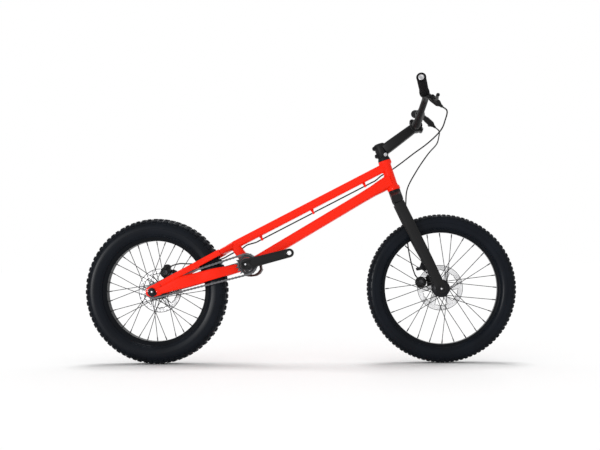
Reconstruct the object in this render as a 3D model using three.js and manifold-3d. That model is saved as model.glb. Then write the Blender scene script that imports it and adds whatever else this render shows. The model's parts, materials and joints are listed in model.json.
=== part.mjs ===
// A trials bicycle with 20 inch wheels, in millimetres, +Z up and +X forward.
// Inside the bike group x is measured from the rear axle, y to the left and z from the ground.
import * as THREE from 'three';
import { mergeVertices } from 'three/addons/utils/BufferGeometryUtils.js';
import Module from 'manifold-3d';

const wasm = await Module();
wasm.setup();

// Fits
const gap = 0.3;              // clearance between pieces that touch
const overrun = 40;           // how far a cutting tool runs past what it cuts
const weld = 1e-4;            // vertices closer than this are one

// Layout of the whole bike
const wheelbase = 1016;
const bracketRise = 91.8;     // bottom bracket above the rear axle
const tyreToBracket = 88.5;   // rear tyre's edge to the bottom bracket's middle
const headLean = THREE.MathUtils.degToRad(17.2);
const forkOffset = 45;        // front axle ahead of the steering axis
const forkLength = 378;       // front axle to the head tube's lower end
const headTubeLength = 109;

// Wheels
const frontHubWidth = 100;
const rearHubWidth = 116;
const rimFacets = 20;
const frontTyre = { radius: 258.8, width: 57, high: 55.8, knob: 4 };
const rearTyre = { radius: 261.5, width: 64, high: 68, knob: 5.5 };
const frontRim = { deep: 8.7, width: 36 };
const rearRim = { deep: 12.6, width: 46 };
const rotorRadius = 80;
const rotorThick = 1.8;
const frontRotorLine = 38;    // rotor's middle plane, left of the wheel's middle
const rearRotorLine = 45;

// Drive
const chainPitch = 12.7;
const ringTeeth = 18;
const cogTeeth = 12;
const chainLine = 46;         // right of the frame's middle
const crankLength = 160;
const crankTilt = THREE.MathUtils.degToRad(13.5);
const crankInner = 62;        // inner face of the arms, from the frame's middle
const spindleRadius = 10;

// Steering
const steererRadius = 14.3;
const stemReach = 144.3;
const stemRise = 47.4;
const clampHeight = 46;
const coverHeight = 15;
const barClampRadius = 15.9;
const barEndRadius = 11.1;
const barWidth = 730;
const hoseRadius = 2.5;
const hoseStraight = 20;      // how far a hose runs straight out of a lever

// Materials
const finish = (color, roughness, metalness) =>
  new THREE.MeshStandardMaterial({ color, roughness, metalness });
const redPaint = finish(0xff2410, 0.3, 0.1);
const blackMetal = finish(0x17181a, 0.45, 0.6);
const forkPaint = finish(0x232325, 0.6, 0.2);
const tyreRubber = finish(0x14171d, 0.85, 0);
const rimBlack = finish(0x0c0d10, 0.3, 0.5);
const steel = finish(0xb4b6ba, 0.3, 0.9);
const hubBlack = finish(0x1a1b1e, 0.35, 0.6);
const foam = finish(0x1b1b1c, 0.9, 0);
const hoseBlack = finish(0x141416, 0.5, 0);
const chainSteel = finish(0x55575b, 0.4, 0.8);
const skidMetal = finish(0x4a2c2a, 0.5, 0.5);
const padMetal = finish(0x6b4a34, 0.7, 0.3);

// Geometry helpers
const at = (x, y, z) => new THREE.Vector3(x, y, z);
const polar = (radius, angle) => [radius * Math.cos(angle), radius * Math.sin(angle)];

// Weld a geometry, drop collapsed triangles and turn its faces outward
function closed(geometry) {
  const bare = new THREE.BufferGeometry();
  bare.setAttribute('position', geometry.getAttribute('position').clone());
  if (geometry.index) bare.setIndex(geometry.index.clone());
  const merged = mergeVertices(bare, weld);
  const place = merged.getAttribute('position');
  const corners = [];
  const a = at(0, 0, 0);
  const b = at(0, 0, 0);
  const c = at(0, 0, 0);
  let volume = 0;
  for (let i = 0; i < merged.index.count; i += 3) {
    const [p, q, r] = [0, 1, 2].map((k) => merged.index.getX(i + k));
    if (p === q || q === r || p === r) continue;
    corners.push(p, q, r);
    a.fromBufferAttribute(place, p);
    b.fromBufferAttribute(place, q);
    c.fromBufferAttribute(place, r);
    volume += a.dot(b.cross(c));
  }
  if (volume < 0) corners.reverse();
  const result = new THREE.BufferGeometry();
  result.setAttribute('position', place);
  result.setIndex(corners);
  return result;
}

function toSolid(geometry) {
  const mesh = closed(geometry);
  return new wasm.Manifold(new wasm.Mesh({
    numProp: 3,
    vertProperties: Float32Array.from(mesh.getAttribute('position').array),
    triVerts: Uint32Array.from(mesh.index.array),
  }));
}

function fromSolid(body) {
  const mesh = body.getMesh();
  const geometry = new THREE.BufferGeometry();
  const place = Float32Array.from(mesh.vertProperties);
  geometry.setAttribute('position', new THREE.BufferAttribute(place, 3));
  geometry.setIndex(Array.from(mesh.triVerts));
  return geometry;
}

const join = (first, ...rest) =>
  fromSolid(rest.reduce((body, next) => body.add(toSolid(next)), toSolid(first)));
const cut = (first, ...tools) =>
  fromSolid(tools.reduce((body, tool) => body.subtract(toSolid(tool)), toSolid(first)));

// Skin over rings of points, each ring with as many points as the next; a loop has no end caps
function skin(rings, loop = false) {
  const sides = rings[0].length;
  const points = rings.flat();
  const faces = [];
  const last = loop ? rings.length : rings.length - 1;
  for (let k = 0; k < last; k += 1) {
    const here = k * sides;
    const there = ((k + 1) % rings.length) * sides;
    for (let j = 0; j < sides; j += 1) {
      const next = (j + 1) % sides;
      faces.push(here + j, here + next, there + next, here + j, there + next, there + j);
    }
  }
  if (!loop) {
    const end = (rings.length - 1) * sides;
    for (let j = 1; j < sides - 1; j += 1) {
      faces.push(0, j + 1, j, end, end + j, end + j + 1);
    }
  }
  const geometry = new THREE.BufferGeometry().setFromPoints(points);
  geometry.setIndex(faces);
  return geometry;
}

// Outline of a tube: power 2 is an oval, higher powers are squarer
function section(wide, high, power, sides) {
  const soft = (value) => Math.sign(value) * Math.abs(value) ** (2 / power);
  return Array.from({ length: sides }, (_, i) => {
    const angle = (2 * Math.PI * (i + 0.5)) / sides;
    return new THREE.Vector2((wide / 2) * soft(Math.cos(angle)), (high / 2) * soft(Math.sin(angle)));
  });
}

// Loft through stations { at, wide, high }: wide lies towards the side vector, high across it
function loft(stations, { power = 2, sides = 10, side = at(0, 1, 0) } = {}) {
  const rings = stations.map((station, i) => {
    const before = stations[Math.max(i - 1, 0)].at;
    const after = stations[Math.min(i + 1, stations.length - 1)].at;
    const along = (station.along ?? after.clone().sub(before)).clone().normalize();
    const across = side.clone().addScaledVector(along, -side.dot(along)).normalize();
    const up = along.clone().cross(across);
    return section(station.wide, station.high, power, sides).map((point) =>
      station.at.clone().addScaledVector(across, point.x).addScaledVector(up, point.y));
  });
  return skin(rings);
}

// Revolve a closed profile of [radius, y] points about the Y axis
function turned(profile, facets = 24) {
  const points = profile.map(([radius, y]) => new THREE.Vector2(radius, y));
  return closed(new THREE.LatheGeometry([...points, points[0].clone()], facets));
}

// A plain round bar along Y from one y to another
const bar = (radius, from, to, facets = 24) =>
  turned([[0, from], [radius, from], [radius, to], [0, to]], facets);

const moved = (geometry, x, y, z) => geometry.clone().translate(x, y, z);
const alongX = (geometry) => geometry.clone().rotateZ(-Math.PI / 2);
const alongZ = (geometry) => geometry.clone().rotateX(Math.PI / 2);
const mirrored = (geometry) => closed(geometry.clone().scale(1, -1, 1));

// Radius of a facetted hole in which a round bar can turn freely
const boreFor = (radius, facets) => (radius + gap) / Math.cos(Math.PI / facets);

// A flat plate: outline and holes in x and z, between two y values
function plate(outline, from, to, holes = []) {
  const flat = (points) => points.map(([x, z]) => new THREE.Vector2(x, z));
  const shape = new THREE.Shape(flat(outline));
  holes.forEach((hole) => shape.holes.push(new THREE.Path(flat(hole))));
  const geometry = new THREE.ExtrudeGeometry(shape, { depth: to - from, bevelEnabled: false });
  return geometry.rotateX(Math.PI / 2).translate(0, to, 0);
}

const circle = (x, z, radius, count, turn = 0) => Array.from({ length: count }, (_, i) => {
  const [dx, dz] = polar(radius, turn + (2 * Math.PI * i) / count);
  return [x + dx, z + dz];
});

// Outline round two circles, with straight sides between them
function strap(x0, z0, r0, x1, z1, r1, count) {
  const heading = Math.atan2(z1 - z0, x1 - x0);
  const lean = Math.acos((r0 - r1) / Math.hypot(x1 - x0, z1 - z0));
  const arc = (x, z, radius, from, to) => Array.from({ length: count + 1 }, (_, i) => {
    const [dx, dz] = polar(radius, from + ((to - from) * i) / count);
    return [x + dx, z + dz];
  });
  return [
    ...arc(x1, z1, r1, heading - lean, heading + lean),
    ...arc(x0, z0, r0, heading + lean, heading + 2 * Math.PI - lean),
  ];
}

// A hose of even thickness on a smooth curve through its points, in two steps from each to the next
function hose(points) {
  const path = new THREE.CatmullRomCurve3(points, false, 'centripetal');
  const places = path.getPoints(2 * (points.length - 1));
  const stations = places.map((place) => ({ at: place, wide: 2 * hoseRadius, high: 2 * hoseRadius }));
  return loft(stations, { sides: 6 });
}

// Where a facetted ring's flat side lies, seen at an angle
function facetRadius(radius, angle, facets) {
  const step = (2 * Math.PI) / facets;
  const off = angle - step * Math.round((angle - step / 2) / step) - step / 2;
  return (radius * Math.cos(step / 2)) / Math.cos(off);
}

// The bike and its main points
const bike = new THREE.Group();
bike.position.x = -(wheelbase + frontTyre.radius - rearTyre.radius) / 2;

function part(name, geometry, material, group = bike) {
  const shape = closed(geometry);
  const flat = shape.toNonIndexed();
  flat.computeVertexNormals();
  const mesh = new THREE.Mesh(flat, material);
  mesh.name = name;
  group.add(mesh);
  return mesh;
}

function placedGroup(x, z, turn = 0) {
  const group = new THREE.Group();
  group.position.set(x, 0, z);
  group.rotation.y = turn;
  bike.add(group);
  return group;
}

// The chain has a whole, even number of links, which sets how far back the rear axle sits
const pitchRadius = (teeth) => chainPitch / (2 * Math.sin(Math.PI / teeth));
const ringRadius = pitchRadius(ringTeeth);
const cogRadius = pitchRadius(cogTeeth);

function linksAround(distance) {
  const lean = Math.asin((ringRadius - cogRadius) / distance);
  const straight = Math.sqrt(distance ** 2 - (ringRadius - cogRadius) ** 2);
  return {
    lean,
    ringLinks: (ringTeeth * (Math.PI + 2 * lean)) / (2 * Math.PI),
    cogLinks: (cogTeeth * (Math.PI - 2 * lean)) / (2 * Math.PI),
    runLinks: straight / chainPitch,
  };
}

const totalLinks = (distance) => {
  const loop = linksAround(distance);
  return loop.ringLinks + loop.cogLinks + 2 * loop.runLinks;
};
const wantedChainstay = rearTyre.radius + tyreToBracket;
const chainLinks = 2 * Math.round(totalLinks(wantedChainstay) / 2);
let chainstay = wantedChainstay;
for (let i = 0; i < 8; i += 1) {
  chainstay += ((chainLinks - totalLinks(chainstay)) * chainPitch) / 2;
}

const rearAxle = { x: 0, z: rearTyre.radius };
const frontAxle = { x: wheelbase, z: frontTyre.radius };
const bracket = {
  x: rearAxle.x + Math.sqrt(chainstay ** 2 - bracketRise ** 2),
  z: rearAxle.z + bracketRise,
};
const headFoot = {
  x: frontAxle.x - forkOffset * Math.cos(headLean) - forkLength * Math.sin(headLean),
  z: frontAxle.z - forkOffset * Math.sin(headLean) + forkLength * Math.cos(headLean),
};
const onHeadAxis = (up) =>
  at(headFoot.x - up * Math.sin(headLean), 0, headFoot.z + up * Math.cos(headLean));
const inHeadFrame = (geometry) =>
  geometry.clone().rotateY(-headLean).translate(headFoot.x, 0, headFoot.z);

// Head tube with a slim waist and a seat for a bearing at each end
const headTube = { collar: 23, waist: 18, bore: 16, seat: 20.5, seatDepth: 8, collarHigh: 11, flare: 6 };
const headFacets = 12;

function buildHeadTube() {
  const t = headTube;
  const top = headTubeLength;
  const profile = [
    [t.seat, 0], [t.collar, 0], [t.collar, t.collarHigh], [t.waist, t.collarHigh + t.flare],
    [t.waist, top - t.collarHigh - t.flare], [t.collar, top - t.collarHigh], [t.collar, top], [t.seat, top],
    [t.seat, top - t.seatDepth], [t.bore, top - t.seatDepth], [t.bore, t.seatDepth], [t.seat, t.seatDepth],
  ];
  part('head_tube', inHeadFrame(alongZ(turned(profile, headFacets))), redPaint);
  const bore = boreFor(steererRadius, headFacets);
  const race = t.seat - gap;
  const bearing = (low) => {
    const high = low + t.seatDepth - gap;
    return alongZ(turned([[bore, low], [race, low], [race, high], [bore, high]], headFacets));
  };
  part('headset_bearing_lower', inHeadFrame(bearing(0)), steel);
  part('headset_bearing_upper', inHeadFrame(bearing(top - t.seatDepth + gap)), steel);
}

// Main tubes
const topTube = { seat: 88.3, wide: 34, high: 29, rearX: -50, rearZ: 69 };
const downTube = { seat: 35.9, drop: 5, wide: 46, high: 36, headWide: 40, headHigh: 48, flareLength: 95 };
const seatTube = { wide: 38, high: 33 };
const shell = { radius: 20.5, width: 73, bore: 17.5 };
const stay = { wide: 15, high: 21, slope: 0.516, above: 11.7, atDropout: 60.5, atTyre: 51.5, tabInset: 1 };
const yoke = { tyreGap: 17.5, rearHigh: 22, shoulderShare: 0.35 };
const guide = { wide: 10, high: 9, below: 11.5, sink: 2, off: 9 };
const guidePlaceShares = [0.16, 0.5, 0.84];

const seatHead = at(bracket.x + topTube.rearX, 0, bracket.z + topTube.rearZ);
const topTubeHead = onHeadAxis(topTube.seat);
const topTubeLine = topTubeHead.clone().sub(seatHead).normalize();
const topTubeUp = at(-topTubeLine.z, 0, topTubeLine.x);
const shellFoot = at(bracket.x, 0, bracket.z - downTube.drop);
const downTubeHead = onHeadAxis(downTube.seat);
const headCutter = inHeadFrame(alongZ(turned([
  [0, -overrun], [headTube.collar + gap, -overrun], [headTube.collar + gap, headTube.collarHigh + gap],
  [headTube.waist + gap, headTube.collarHigh + headTube.flare],
  [headTube.waist + gap, headTubeLength - headTube.collarHigh - headTube.flare],
  [headTube.collar + gap, headTubeLength - headTube.collarHigh - gap],
  [headTube.collar + gap, headTubeLength + overrun], [0, headTubeLength + overrun],
], headFacets)));
const shellCutter = moved(bar(shell.radius + gap, -shell.width, shell.width, 12), bracket.x, 0, bracket.z);

// Point on the hose's line under the top tube, at a share of the tube's length from its rear end
function underTopTube(share) {
  return seatHead.clone().lerp(topTubeHead, share)
    .addScaledVector(topTubeUp, -topTube.high / 2 - guide.below)
    .setY(guide.off);
}

function topTubeBlank(grow) {
  const size = { wide: topTube.wide + 2 * grow, high: topTube.high + 2 * grow };
  return loft([{ at: seatHead, ...size }, { at: topTubeHead, ...size }], { power: 4.5, sides: 8 });
}

function seatTubeBlank(grow) {
  const size = { wide: seatTube.wide + 2 * grow, high: seatTube.high + 2 * grow };
  const low = at(bracket.x, 0, bracket.z);
  return loft([{ at: low, ...size }, { at: seatHead, ...size }], { power: 4, sides: 8 });
}

function downTubeBlank(grow) {
  const line = downTubeHead.clone().sub(shellFoot).normalize();
  const flareStart = downTubeHead.clone().addScaledVector(line, -downTube.flareLength);
  const size = { wide: downTube.wide + 2 * grow, high: downTube.high + 2 * grow };
  return loft([
    { at: shellFoot, ...size },
    { at: flareStart, ...size },
    { at: downTubeHead, wide: downTube.headWide + 2 * grow, high: downTube.headHigh + 2 * grow },
  ], { power: 4, sides: 8 });
}

// The seat stays' middle line runs straight from the dropouts to the yoke, which clears the tyre
const stayHeight = (x) => rearAxle.z + stay.above + stay.slope * (x - rearAxle.x);
const slant = 1 + stay.slope ** 2;
const yokeReach = rearTyre.radius + yoke.tyreGap;
const yokeX = rearAxle.x
  + (Math.sqrt(yokeReach ** 2 * slant - stay.above ** 2) - stay.above * stay.slope) / slant;

function yokeBlank(grow) {
  const front = seatHead.clone().addScaledVector(topTubeLine, 2 * grow - gap);
  const rear = at(yokeX, 0, stayHeight(yokeX));
  const wide = 2 * (stay.atTyre + grow) + stay.wide;
  const high = yoke.rearHigh + 2 * grow;
  return loft([
    { at: rear, wide, high, along: topTubeLine },
    { at: rear.clone().lerp(front, yoke.shoulderShare), wide: wide - stay.wide, high, along: topTubeLine },
    { at: front, wide: topTube.wide + 2 * grow, high: topTube.high + 2 * grow, along: topTubeLine },
  ], { power: 4, sides: 8 });
}

function buildMainTubes() {
  const posts = guidePlaceShares.map((share) => {
    const middle = underTopTube(share);
    const size = { wide: guide.wide, high: guide.wide };
    return loft([
      { at: middle.clone().addScaledVector(topTubeUp, -guide.high / 2), ...size },
      { at: middle.clone().addScaledVector(topTubeUp, guide.below + guide.sink), ...size },
    ], { power: 6, sides: 4 });
  });
  const boreSize = { wide: 2 * (hoseRadius + 2 * gap), high: 2 * (hoseRadius + 2 * gap) };
  const bore = loft([
    { at: underTopTube(0), ...boreSize }, { at: underTopTube(1), ...boreSize },
  ], { sides: 6 });
  part('top_tube', cut(join(cut(topTubeBlank(0), headCutter), ...posts), bore), redPaint);
  part('down_tube', cut(downTubeBlank(0), headCutter, shellCutter, seatTubeBlank(gap)), redPaint);
  part('seat_tube', cut(seatTubeBlank(0), shellCutter, topTubeBlank(gap), yokeBlank(gap)), redPaint);
  part('seat_yoke', cut(yokeBlank(0), topTubeBlank(gap)), redPaint);
  part('bb_shell', moved(turned([
    [shell.bore, -shell.width / 2], [shell.radius, -shell.width / 2],
    [shell.radius, shell.width / 2], [shell.bore, shell.width / 2],
  ], 12), bracket.x, 0, bracket.z), redPaint);
}

// Brakes: one caliper over each rotor, placed by its angle round the axle
const caliper = { reach: 70, radius: 20, inner: 11, outer: 17, slot: 1.6, rim: 3 };
const pad = { reach: 67, radius: 11, thick: 4, clearance: 0.3 };
const rearCaliperAngle = THREE.MathUtils.degToRad(70.5);
const frontCaliperAngle = THREE.MathUtils.degToRad(163);
const rearTabShares = [[0.6, -1.5], [2.1, -0.5], [1.4, 0.55], [0.85, 0.85], [0.4, 0.1]];
const frontTabShares = [[0.8, -1.2], [2.3, -1.5], [2.3, 1.3], [0.7, 1.1], [0.3, 0]];

const caliperSpot = (axle, angle) => {
  const [dx, dz] = polar(caliper.reach, angle);
  return { x: axle.x + dx, z: axle.z + dz };
};
const rearCaliperSpot = caliperSpot(rearAxle, rearCaliperAngle);
const frontCaliperSpot = caliperSpot(frontAxle, frontCaliperAngle);

function caliperTab(spot, shares, from, to) {
  const outline = shares.map(([dx, dz]) => [spot.x + dx * caliper.radius, spot.z + dz * caliper.radius]);
  const clear = bar(caliper.radius + gap, -overrun, 2 * rearHubWidth, 12);
  return cut(plate(outline, from, to), moved(clear, spot.x, 0, spot.z));
}

// Caliper body with a slot for the rotor and a pocket for the pads, and its two pads
function buildBrake(name, axle, angle, line, makePart) {
  const spot = caliperSpot(axle, angle);
  const [padX, padZ] = polar(pad.reach, angle);
  const slotHalf = rotorThick / 2 + caliper.slot;
  const padFace = rotorThick / 2 + pad.clearance;
  const pocketHalf = padFace + pad.thick + gap;
  const body = moved(bar(caliper.radius, line - caliper.inner, line + caliper.outer, 12), spot.x, 0, spot.z);
  const disc = bar(rotorRadius + caliper.rim, line - slotHalf, line + slotHalf, 24);
  const slot = moved(disc, axle.x, 0, axle.z);
  const pocket = moved(
    bar(pad.radius + gap, line - pocketHalf, line + pocketHalf, 8), axle.x + padX, 0, axle.z + padZ,
  );
  makePart(`${name}_caliper`, cut(body, slot, pocket), blackMetal);
  const onePad = (from, to) => moved(bar(pad.radius, from, to, 8), axle.x + padX, 0, axle.z + padZ);
  makePart(`${name}_pad_outer`, onePad(line + padFace, line + padFace + pad.thick), padMetal);
  makePart(`${name}_pad_inner`, onePad(line - padFace - pad.thick, line - padFace), padMetal);
}

// Stays and dropouts, drawn for the left side. Chainstay rows follow the line from axle to bracket:
// place along it, offset from it and height as shares of the chainstay, and how far out the stay lies:
// 1 at the dropout, 0 beside the tyre, below 0 drawn in towards the bottom bracket
const chainstayShares = [
  [0.083, -0.013, 0.073, 1], [0.29, 0.0066, 0.12, 1], [0.4, 0.005, 0.119, 0.72],
  [0.49, 0.003, 0.117, 0.06], [0.67, 0, 0.108, 0], [0.77, -0.005, 0.097, -0.22],
  [0.87, -0.009, 0.087, -0.45], [0.94, -0.009, 0.085, -0.53],
];
const seatstayShares = [[0.3, 1], [0.52, 0.78], [0.68, 0.08]];   // place between dropout and yoke, way out
const dropout = { reach: 30, thick: 8, slot: 5.3, slotFront: 8 };
const dropoutShares = [
  [-0.8, 0.07], [-0.7, -0.4], [-0.3, -0.6], [0.3, -0.58], [1.1, -0.37], [1, 0.3], [1, 1.3], [0.35, 0.92],
  [-0.35, 0.62], [-0.72, 0.35],
];

const stayOut = (share) => (share >= 0
  ? THREE.MathUtils.lerp(stay.atTyre, stay.atDropout, share)
  : stay.atTyre * (1 + share));

function seatstayBlank(grow) {
  const size = { wide: stay.wide + 2 * grow, high: stay.high + 2 * grow };
  const front = yokeX - gap;
  const rear = rearAxle.x + dropout.reach + gap;
  const spot = (x, share) => at(x, stayOut(share), stayHeight(x));
  const between = seatstayShares.map(([place, out]) => (
    { at: spot(THREE.MathUtils.lerp(rear, front, place), out), ...size }));
  return loft([
    { at: spot(rear, 1), along: at(1, 0, 0), wide: size.wide, high: size.high * Math.sqrt(slant) },
    ...between,
    { at: spot(front, 0), along: topTubeLine, ...size },
  ], { power: 4, sides: 8 });
}

function chainstayBlank() {
  const line = at(bracket.x - rearAxle.x, 0, bracket.z - rearAxle.z);
  return loft(chainstayShares.map(([place, off, high, out]) => ({
    at: at(rearAxle.x + line.x * place, stayOut(out), rearAxle.z + line.z * place + off * chainstay),
    wide: stay.wide,
    high: high * chainstay,
    along: line,
  })), { power: 4, sides: 8 });
}

function buildStays() {
  const outline = dropoutShares.map(([x, z]) =>
    [rearAxle.x + x * dropout.reach, rearAxle.z + z * dropout.reach]);
  const face = rearHubWidth / 2;
  const dropoutPlate = plate(outline, face, face + dropout.thick);
  const slot = plate(strap(
    rearAxle.x - 2 * dropout.reach, rearAxle.z, dropout.slot,
    rearAxle.x + dropout.slotFront, rearAxle.z, dropout.slot, 4,
  ), 0, rearHubWidth);
  const chainstaySolid = cut(
    join(cut(chainstayBlank(), seatstayBlank(gap)), dropoutPlate),
    slot, shellCutter, seatTubeBlank(gap),
  );
  part('chainstay_left', chainstaySolid, redPaint);
  part('chainstay_right', mirrored(chainstaySolid), redPaint);
  const tabFrom = stay.atDropout - stay.wide / 2 + stay.tabInset;
  const tab = caliperTab(rearCaliperSpot, rearTabShares, tabFrom, stay.atDropout);
  part('seatstay_left', join(seatstayBlank(0), tab), redPaint);
  part('seatstay_right', mirrored(seatstayBlank(0)), redPaint);
}

// Skid plate under the bottom bracket: a crescent on two feet, as [radius, degrees] from the spindle
const skid = { half: 24, footHalf: 13, reach: 54 };
const skidShares = [
  [0.76, -108], [0.81, -90], [0.86, -74], [0.95, -57], [1, -40], [1, -21],
  [0.88, -24], [0.86, -40], [0.8, -57], [0.72, -74], [0.68, -90], [0.65, -106],
];
const skidRearFootShares = [[0.7, -108], [0.7, -94], [0.3, -84], [0.3, -124]];
const skidFrontFootShares = [[0.96, -30], [0.98, -21], [0.86, 4], [0.74, 2], [0.86, -24]];

function buildSkidPlate() {
  const spread = (shares) => shares.map(([reach, degrees]) => {
    const [x, z] = polar(reach * skid.reach, THREE.MathUtils.degToRad(degrees));
    return [bracket.x + x, bracket.z + z];
  });
  const crescent = plate(spread(skidShares), -skid.half, skid.half);
  const feet = [skidRearFootShares, skidFrontFootShares].map((shares) =>
    plate(spread(shares), -skid.footHalf, skid.footHalf));
  part('skid_plate', cut(join(crescent, ...feet), shellCutter, downTubeBlank(gap)), skidMetal);
}

// Wheels
const tyreShares = { waist: 0.5, shoulderDrop: 0.15, shoulder: 0.9, crown: 0.42, inner: 0.66, casing: 2.4 };
const rimProfile = { flange: 6, flangeLean: 2.5, wall: 3.5, wellShare: 0.24, innerShare: 0.36 };
const beadOf = (tyre) => tyre.radius - tyre.high;
const holeOf = (tyre, rim) => beadOf(tyre) - rim.deep;

function tyreSection(tyre, rim, centreOut) {
  const s = tyreShares;
  const half = tyre.width / 2;
  const bead = beadOf(tyre);
  const inside = tyre.radius - s.casing * tyre.knob;
  const seat = rim.width / 2 - rimProfile.flangeLean - 2 * gap;
  const shoulderDip = centreOut ? tyre.knob : 0;
  const centreDip = centreOut ? 0 : tyre.knob;
  const side = [
    [bead + gap, seat],
    [tyre.radius - s.waist * tyre.high, half],
    [tyre.radius - s.shoulderDrop * tyre.high - shoulderDip, s.shoulder * half],
    [tyre.radius - centreDip, s.crown * half],
  ];
  const mirror = ([radius, y]) => [radius, -y];
  return [...side, ...side.toReversed().map(mirror), [inside, -s.inner * half], [inside, s.inner * half]];
}

// Blocks alternate round the tyre: a centre block, then a pair of shoulder blocks
function tyreGeometry(tyre, rim) {
  const count = 2 * rimFacets;
  return skin(Array.from({ length: count }, (_, k) => {
    const angle = (2 * Math.PI * k) / count;
    return tyreSection(tyre, rim, k % 2 === 0).map(([radius, y]) => {
      const [x, z] = polar(radius, angle);
      return at(x, y, z);
    });
  }), true);
}

function rimGeometry(tyre, rim) {
  const p = rimProfile;
  const half = rim.width / 2;
  const bead = beadOf(tyre);
  const hole = holeOf(tyre, rim);
  const side = [
    [bead + p.flange, half], [bead, half - p.flangeLean], [hole + p.wall, p.wellShare * rim.width],
  ];
  const mirror = ([radius, y]) => [radius, -y];
  return turned([
    ...side, ...side.toReversed().map(mirror),
    [hole, -p.innerShare * rim.width], [hole, p.innerShare * rim.width],
  ], rimFacets);
}

// Straight spokes, half leading and half trailing, which pass each other at different widths
const spoke = { radius: 1.15, hubShare: 0.86, apartAtHub: 1.4, rimY: 3, apartAtRim: 1.4 };

function spokes(hub, tyre, rim) {
  const spacing = (4 * Math.PI) / hub.spokes;
  const made = [];
  [1, -1].forEach((sideSign) => {
    for (let i = 0; i < hub.spokes / 2; i += 1) {
      const way = i % 2 ? 1 : -1;
      const hubAngle = spacing * (i + (sideSign > 0 ? 0 : 0.5));
      const rimAngle = hubAngle + way * hub.crosses * spacing;
      const [hx, hz] = polar(spoke.hubShare * hub.flange, hubAngle);
      const reach = facetRadius(holeOf(tyre, rim), rimAngle, rimFacets) - 2 * gap;
      const [rx, rz] = polar(reach, rimAngle);
      const foot = at(hx, sideSign * hub.flangeY + way * spoke.apartAtHub, hz);
      const head = at(rx, sideSign * spoke.rimY + way * spoke.apartAtRim, rz);
      const size = { wide: 2 * spoke.radius, high: 2 * spoke.radius };
      made.push(loft([{ at: foot, ...size }, { at: head, ...size }], { sides: 3 }));
    }
  });
  return made;
}

// Hubs turn on plain axles; the left end carries the rotor, the rear hub's right end carries the cog
const frontHub = {
  flange: 31, flangeY: 25, flangeThick: 5.2, barrel: 14, end: 46, seat: 22, pilot: 13,
  spokes: 28, crosses: 2, rightShoulder: 18,
};
const rearHub = {
  flange: 31, flangeY: 30, flangeThick: 5.2, barrel: 17, end: 54, seat: 21, pilot: 13,
  spokes: 32, crosses: 3, rightShoulder: 19.4, rightPilot: 17,
};
const axle = { radius: 7.5, shank: 5, head: 9.5, headHigh: 5.5 };
const hubFacets = 10;

function hubGeometry(hub, rotorLine, rightEnd) {
  const bore = boreFor(axle.radius, hubFacets);
  const rotorFace = rotorLine - rotorThick / 2 - gap;
  const inner = hub.flangeY - hub.flangeThick / 2;
  const outer = hub.flangeY + hub.flangeThick / 2;
  return turned([
    [bore, -hub.end], ...rightEnd,
    [hub.rightShoulder, -outer], [hub.flange, -outer], [hub.flange, -inner], [hub.barrel, -inner],
    [hub.barrel, inner], [hub.flange, inner], [hub.flange, outer], [hub.seat, outer],
    [hub.seat, rotorFace], [hub.pilot, rotorFace], [hub.pilot, hub.end], [bore, hub.end],
  ], hubFacets);
}

// Brake rotor: a carrier, slanted arms and a band with slots; a slot's turn is in radians
const rotor = {
  carrier: 24, bandInner: 62, arms: 6, slots: 6, slotInner: 66, slotOuter: 75, slotTurn: 0.06,
};
const armShares = { outerFrom: 0.22, outerTo: 0.92, innerFrom: 0.02, innerTo: 0.55 };

function rotorGeometry(line) {
  const windows = Array.from({ length: rotor.arms }, (_, i) => {
    const step = (2 * Math.PI) / rotor.arms;
    const turn = (share) => step * (i + share);
    return [
      polar(rotor.bandInner, turn(armShares.outerFrom)),
      polar(rotor.bandInner, turn((armShares.outerFrom + armShares.outerTo) / 2)),
      polar(rotor.bandInner, turn(armShares.outerTo)),
      polar(rotor.carrier, turn(armShares.innerTo)),
      polar(rotor.carrier, turn(armShares.innerFrom)),
    ];
  });
  const slots = Array.from({ length: rotor.slots }, (_, i) => {
    const turn = (2 * Math.PI * i) / rotor.slots;
    return [
      polar(rotor.slotInner, turn - rotor.slotTurn), polar(rotor.slotInner, turn + rotor.slotTurn),
      polar(rotor.slotOuter, turn + 2 * rotor.slotTurn), polar(rotor.slotOuter, turn),
    ];
  });
  const hole = circle(0, 0, boreFor(frontHub.pilot, hubFacets), hubFacets);
  const outline = circle(0, 0, rotorRadius, 24);
  return plate(outline, line - rotorThick / 2, line + rotorThick / 2, [hole, ...windows, ...slots]);
}

function buildAxle(name, face, stack, makePart) {
  const headFrom = face + stack + gap;
  const headTo = headFrom + axle.headHigh;
  makePart(`${name}_axle`, turned([
    [0, -headTo], [axle.head, -headTo], [axle.head, -headFrom], [axle.shank, -headFrom],
    [axle.shank, gap - face], [axle.radius, gap - face], [axle.radius, face - gap],
    [axle.shank, face - gap], [axle.shank, headTo], [0, headTo],
  ], 8), steel);
  const nutBore = boreFor(axle.shank, 6);
  makePart(`${name}_axle_nut`, turned([
    [nutBore, headFrom], [axle.head, headFrom], [axle.head, headTo], [nutBore, headTo],
  ], 6), steel);
}

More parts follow.
